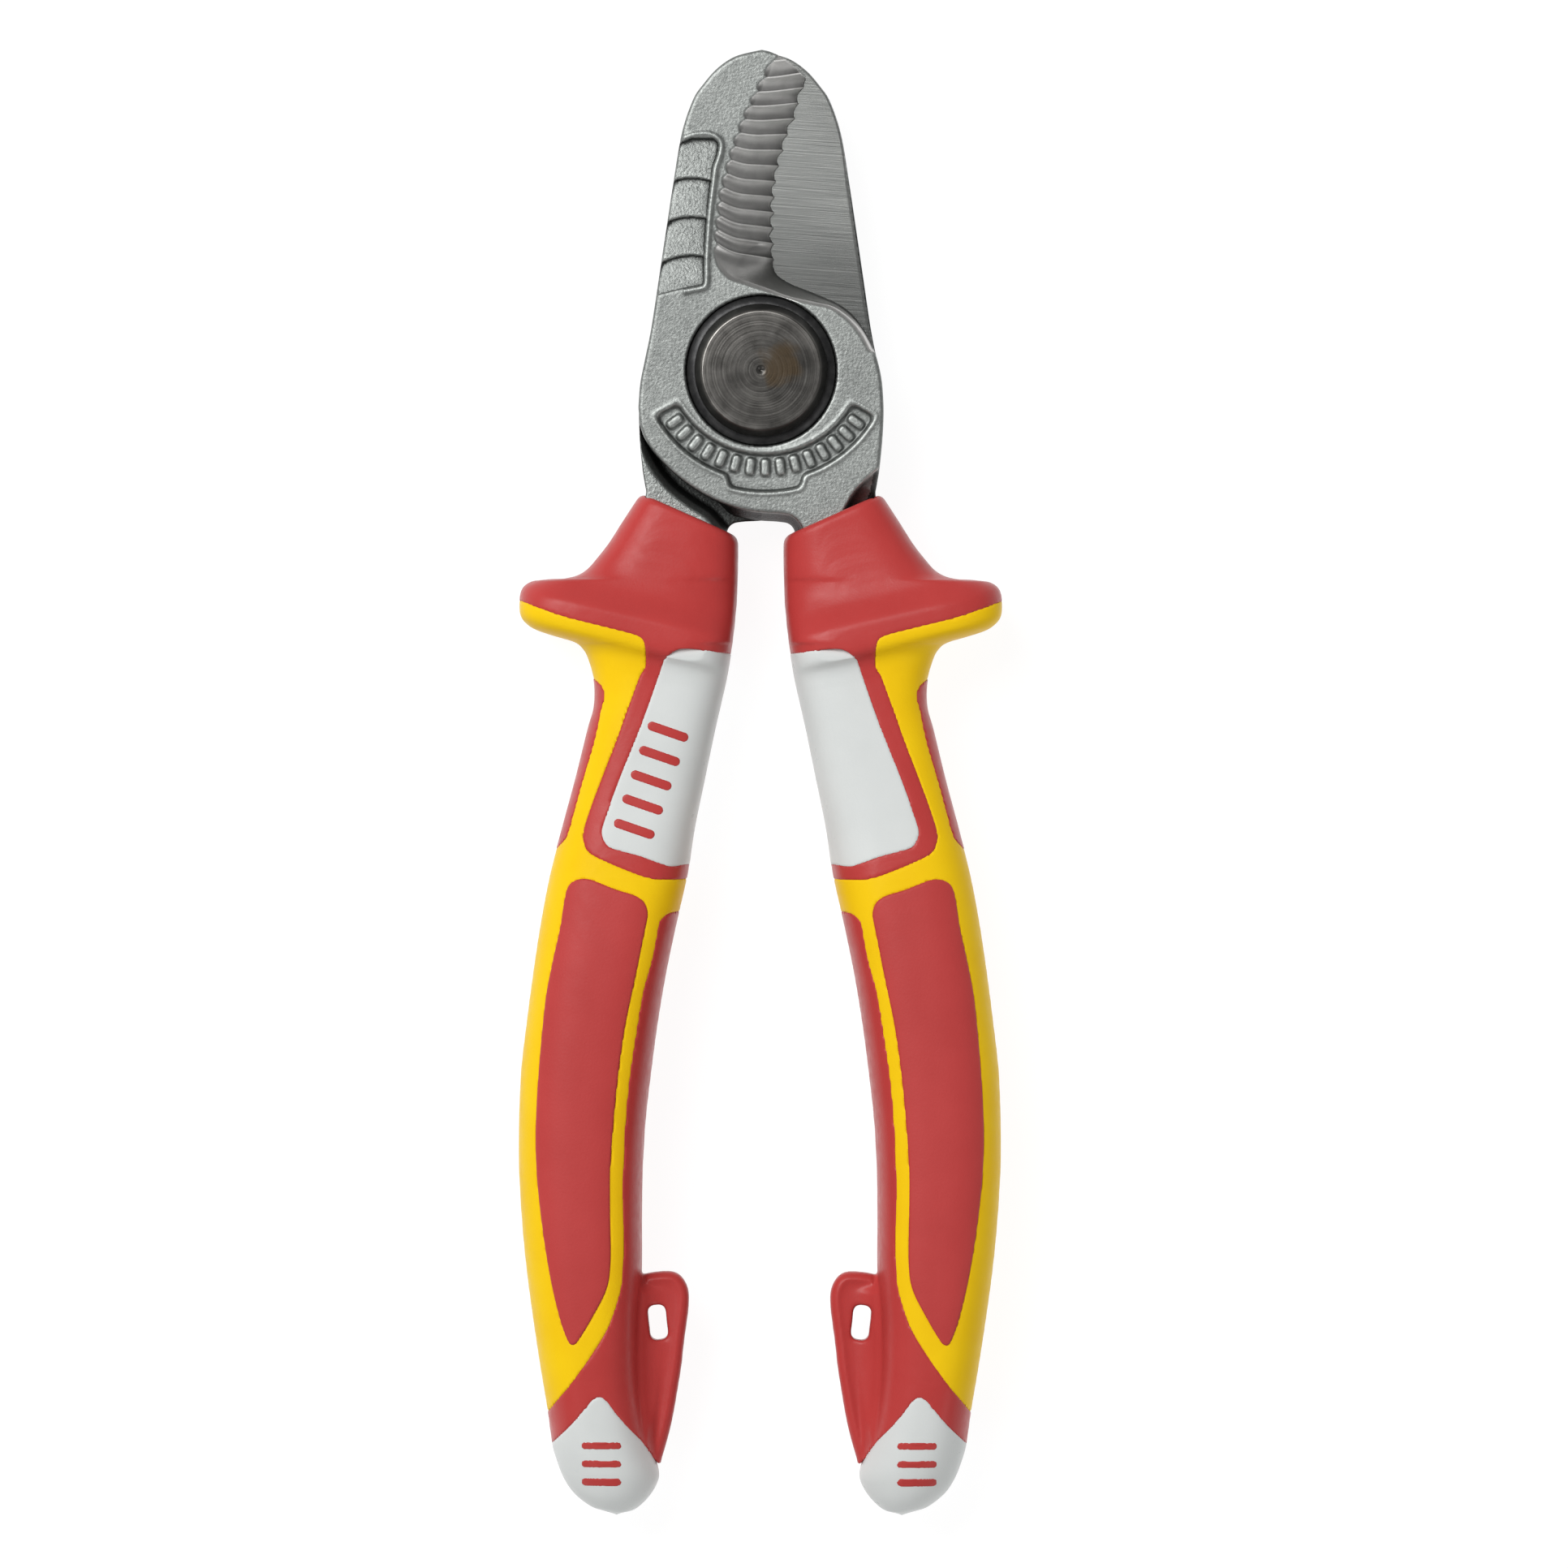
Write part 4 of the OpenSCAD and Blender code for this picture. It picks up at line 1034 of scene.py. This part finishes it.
# Each moulding: CAD node, slot, material and field, and the corners that it is sampled between.
MOULDINGS = [
    ("grip_core", "yellow_plastic", YELLOW, core_field, (1.6, -124, -9.8), (27, -15, 9.8)),
    ("guard_sleeve", "red_plastic", RED, sleeve_field, (1.6, -56.5, -9.8), (27, -12.4, 9.8)),
    ("label_panel", "white_plastic", WHITE, skin_field("label", SKIN["label"]),
     (2.2, -54.8, -8.8), (18, -29.8, 8.8)),
    ("thumb_strip", "red_plastic", RED, skin_field("thumb", SKIN["thumb"]),
     (16.2, -53.5, -8), (23, -32.6, 8)),
    ("tail", "red_plastic", RED, tail_field, (7, -121, -9.8), (25, -58.4, 9.8)),
    ("end_cap", "white_plastic", WHITE, skin_field("cap", SKIN["cap"]),
     (10, -125.6, -8.6), (24, -111, 8.6)),
    ("front_pad", "red_plastic", SOFT_RED, pad_field(1), (11.6, -107, 1), (25.2, -54.8, 9.9)),
    ("rear_pad", "red_plastic", SOFT_RED, pad_field(-1), (11.6, -107, -9.9), (25.2, -54.8, -1)),
]
HANDS = ("right", FRONT), ("left", REAR)
for cad, slot, material, field, low, high in MOULDINGS:
    shape = surface(field, cube_marks(low, high, GRIP_STEP))
    for hand, body in HANDS:
        add_piece(f"{hand}_{cad}_moulding", shape, body, material, [f"{hand}_{cad}"], hand)
LABEL_BARS = surface(bars_field("label"), cube_marks(*LABEL_BARS_BOX, BAR_STEP))
add_piece("left_label_bars_inlay", LABEL_BARS, REAR, RED, ["left_label_bars"], "left")
CAP_BARS = surface(bars_field("cap"), cube_marks(*CAP_BARS_BOX, BAR_STEP))
for hand, body in HANDS:
    add_piece(f"{hand}_cap_bars_inlay", CAP_BARS, body, RED, [f"{hand}_cap_bars"], hand)


# ---- bolt, washers and nut
def turned(profile, ring=False, steps=160):
    """A solid turned about the bolt's axis, from (radius, height) points down its section."""
    points, rows, faces = [], [], []
    for r, z in profile:
        count = 1 if r == 0 else steps
        rows.append([len(points) + i for i in range(count)])
        points += [(r * math.cos(2 * math.pi * i / steps), r * math.sin(2 * math.pi * i / steps), z)
                   for i in range(count)]
    for a, b in zip(rows, rows[1:] + (rows[:1] if ring else [])):
        for i in range(steps):
            j = (i + 1) % steps
            face = (a[i % len(a)], b[i % len(b)], b[j % len(b)], a[j % len(a)])
            faces.append(tuple(dict.fromkeys(face)))
    return np.array(points), faces


HEAD_FACE_R, HEAD_R = 6.55, 7.25
HEAD_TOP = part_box("pivot_bolt")[1].z / MM - HALF_T
CLAMP_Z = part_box("dished_washer")[1].z / MM - HALF_T + 0.02
THREAD_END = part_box("pivot_bolt")[0].z / MM - HALF_T
THREAD_R, THREAD_PITCH, THREAD_DEPTH = 4.0, 1.25, 0.45
SHANK_R, SHANK_END = 4.5, -4.9
RINGS, FIRST_RING_R, RING_PITCH = 64, 0.6, 0.09
FACE_LOW = 0.045  # the face's middle lies this far below its rim


def ring_height(i):
    """Height of turning ring i: fine waves on a face that rises to its rim."""
    return HEAD_TOP - FACE_LOW + 0.0006 * i + 0.003 * math.sin(2.1 * i) + 0.002 * math.sin(5.3 * i)


def bolt_profile():
    """Half the bolt's section, from the centre mark round to the end of the thread."""
    face = [(0, HEAD_TOP - 0.33), (0.12, HEAD_TOP - 0.3), (0.4, HEAD_TOP - 0.07),
            (0.52, HEAD_TOP - FACE_LOW)]
    rings = [(FIRST_RING_R + RING_PITCH * i, ring_height(i)) for i in range(RINGS)]
    rim = [(6.36, HEAD_TOP), (6.46, HEAD_TOP - 0.03), (HEAD_FACE_R, HEAD_TOP - 0.1), (6.6, HEAD_TOP - 0.2)]
    side = [(HEAD_R - 0.06, CLAMP_Z + 0.85), (HEAD_R, CLAMP_Z + 0.7), (HEAD_R, CLAMP_Z + 0.1),
            (HEAD_R - 0.1, CLAMP_Z), (SHANK_R, CLAMP_Z), (SHANK_R, SHANK_END), (THREAD_R, -5.05)]
    turns = int((-5.1 - THREAD_END - 0.5) / THREAD_PITCH)
    thread = []
    for i in range(turns):
        z = -5.2 - i * THREAD_PITCH
        thread += [(THREAD_R, z), (THREAD_R - THREAD_DEPTH, z - 0.5 * THREAD_PITCH)]
    end = [(THREAD_R, THREAD_END + 0.6), (THREAD_R, THREAD_END + 0.5), (THREAD_R - 0.45, THREAD_END + 0.02),
           (THREAD_R - 0.6, THREAD_END), (0, THREAD_END)]
    return face + rings + rim + side + thread + end


def washer_profile(inner, outer, low, thick, flat):
    """A dished washer: flat to the bolt's head, then falling to its rim."""
    rim = low + 0.6 * thick
    top = low + thick
    return [(inner, low + 0.05), (inner + 0.05, low), (outer - 0.08, low), (outer, low + 0.08),
            (outer, rim - 0.1), (outer - 0.07, rim), (flat + 0.1, top - 0.03), (flat - 0.1, top),
            (inner + 0.08, top), (inner, top - 0.08)]


WASHER_BORE_R, WASHER_R, WASHER_T, WASHER_FLAT_R = 4.56, 8.1, 0.98, 7.4
WASHER_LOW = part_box("dished_washer")[0].z / MM - HALF_T
BOLT = turned(bolt_profile())
WASHER_HALF = washer_profile(WASHER_BORE_R, WASHER_R, WASHER_LOW, WASHER_T, WASHER_FLAT_R)
WASHER = turned(WASHER_HALF[::-1], ring=True)
add_piece("pivot_bolt_turned", BOLT, FRONT, BOLT_STEEL, ["pivot_bolt"], crease=30)
add_piece("dished_washer_black", WASHER, FRONT, BLACK_STEEL, ["dished_washer"], crease=30)
add_piece("nut_washer_turned", WASHER, FRONT, NUT_STEEL, ["nut_washer"], "over", crease=30)

NUT_HALF, NUT_LOW, NUT_HIGH = 6.5, -HALF_T, -CLAMP_Z
NUT_BORE_R = THREAD_R + 0.06
NUT_BOX = (-7.8, -7.8, NUT_LOW - 0.4), (7.8, 7.8, NUT_HIGH + 0.4)


def nut_field(x, y, z):
    """A hexagon nut, its corners turned off at both faces."""
    sides = [x * math.cos(a) + y * math.sin(a) for a in np.radians([30, 90, 150])]
    hexagon = np.maximum(np.maximum(np.abs(sides[0]), np.abs(sides[1])), np.abs(sides[2])) - NUT_HALF
    r = np.hypot(x, y)
    reach = (r - NUT_HALF + 0.1) * 0.5  # the corners are turned off at 30 degrees
    low = reach - (z - NUT_LOW) * 0.866
    high = reach - (NUT_HIGH - z) * 0.866
    ends = np.maximum(NUT_LOW - z, z - NUT_HIGH)
    out = smooth_max(smooth_max(hexagon, np.maximum(low, high), 0.1), ends, 0.1)
    return smooth_max(out, NUT_BORE_R - r, 0.3)


NUT = surface(nut_field, cube_marks(*NUT_BOX, LEVER_STEP))
add_piece("lock_nut_chamfered", NUT, FRONT, NUT_STEEL, ["lock_nut"], crease=35)


# ---- the picture
CENTRE = (0, 0, 0.01)  # the lights face this point


def area_light(name, place, size, power):
    """A soft white light that faces the tool."""
    data = bpy.data.lights.new(name, "AREA")
    data.shape = "RECTANGLE"
    data.size, data.size_y = size
    data.energy = power
    light = placed_object(name, data)
    light.location = place
    direction = Vector(CENTRE) - light.location
    light.rotation_euler = direction.to_track_quat("-Z", "Y").to_euler()


FLOOR = 3  # half its side, in metres
floor_mesh = bpy.data.meshes.new("floor")
floor_corners = [(-FLOOR, -FLOOR, 0), (FLOOR, -FLOOR, 0), (FLOOR, FLOOR, 0), (-FLOOR, FLOOR, 0)]
floor_mesh.from_pydata(floor_corners, [], [(0, 1, 2, 3)])
floor = placed_object("floor", floor_mesh)
floor_material, _, floor_shader = new_material("pale_floor", (0.12, 0.12, 0.12), 0.9)
floor_shader.inputs["Emission Color"].default_value = (1, 1, 1, 1)
floor_shader.inputs["Emission Strength"].default_value = 0.93
floor_mesh.materials.append(floor_material)

# The view is square and straight down: its width on the tool's middle plane, and its middle
# from the bolt, in millimetres.
VIEW_W, VIEW_MIDDLE = 171.4286, (2.5732, -45.0754)
LENS, SENSOR, ROLL = 400.0, 36.0, math.radians(0.1)
CAMERA_UP = VIEW_W * LENS / SENSOR
camera_data = bpy.data.cameras.new("camera")
camera_data.lens, camera_data.sensor_width = LENS, SENSOR
camera_data.clip_end = 20
camera = placed_object("camera", camera_data)
camera.location = PIVOT + np.array([*VIEW_MIDDLE, CAMERA_UP]) * MM
camera.rotation_euler = (0, 0, ROLL)
bpy.context.scene.camera = camera

area_light("overhead", (-0.36, 0.42, 1.0), (0.55, 0.55), 9.3)
area_light("upper_left", (-0.75, 0.5, 0.75), (0.4, 0.4), 2.4)
area_light("lower_right", (0.85, -0.75, 0.6), (0.6, 0.4), 2.0)
area_light("lower_left", (-0.6, -0.8, 0.8), (0.6, 0.6), 1.4)
world = bpy.data.worlds.new("world")
bpy.context.scene.world = world
world.use_nodes = True
sky = world.node_tree.nodes["Background"].inputs
sky["Color"].default_value = (1, 1, 1, 1)
sky["Strength"].default_value = 0.27
bpy.context.scene.view_settings.view_transform = "Standard"
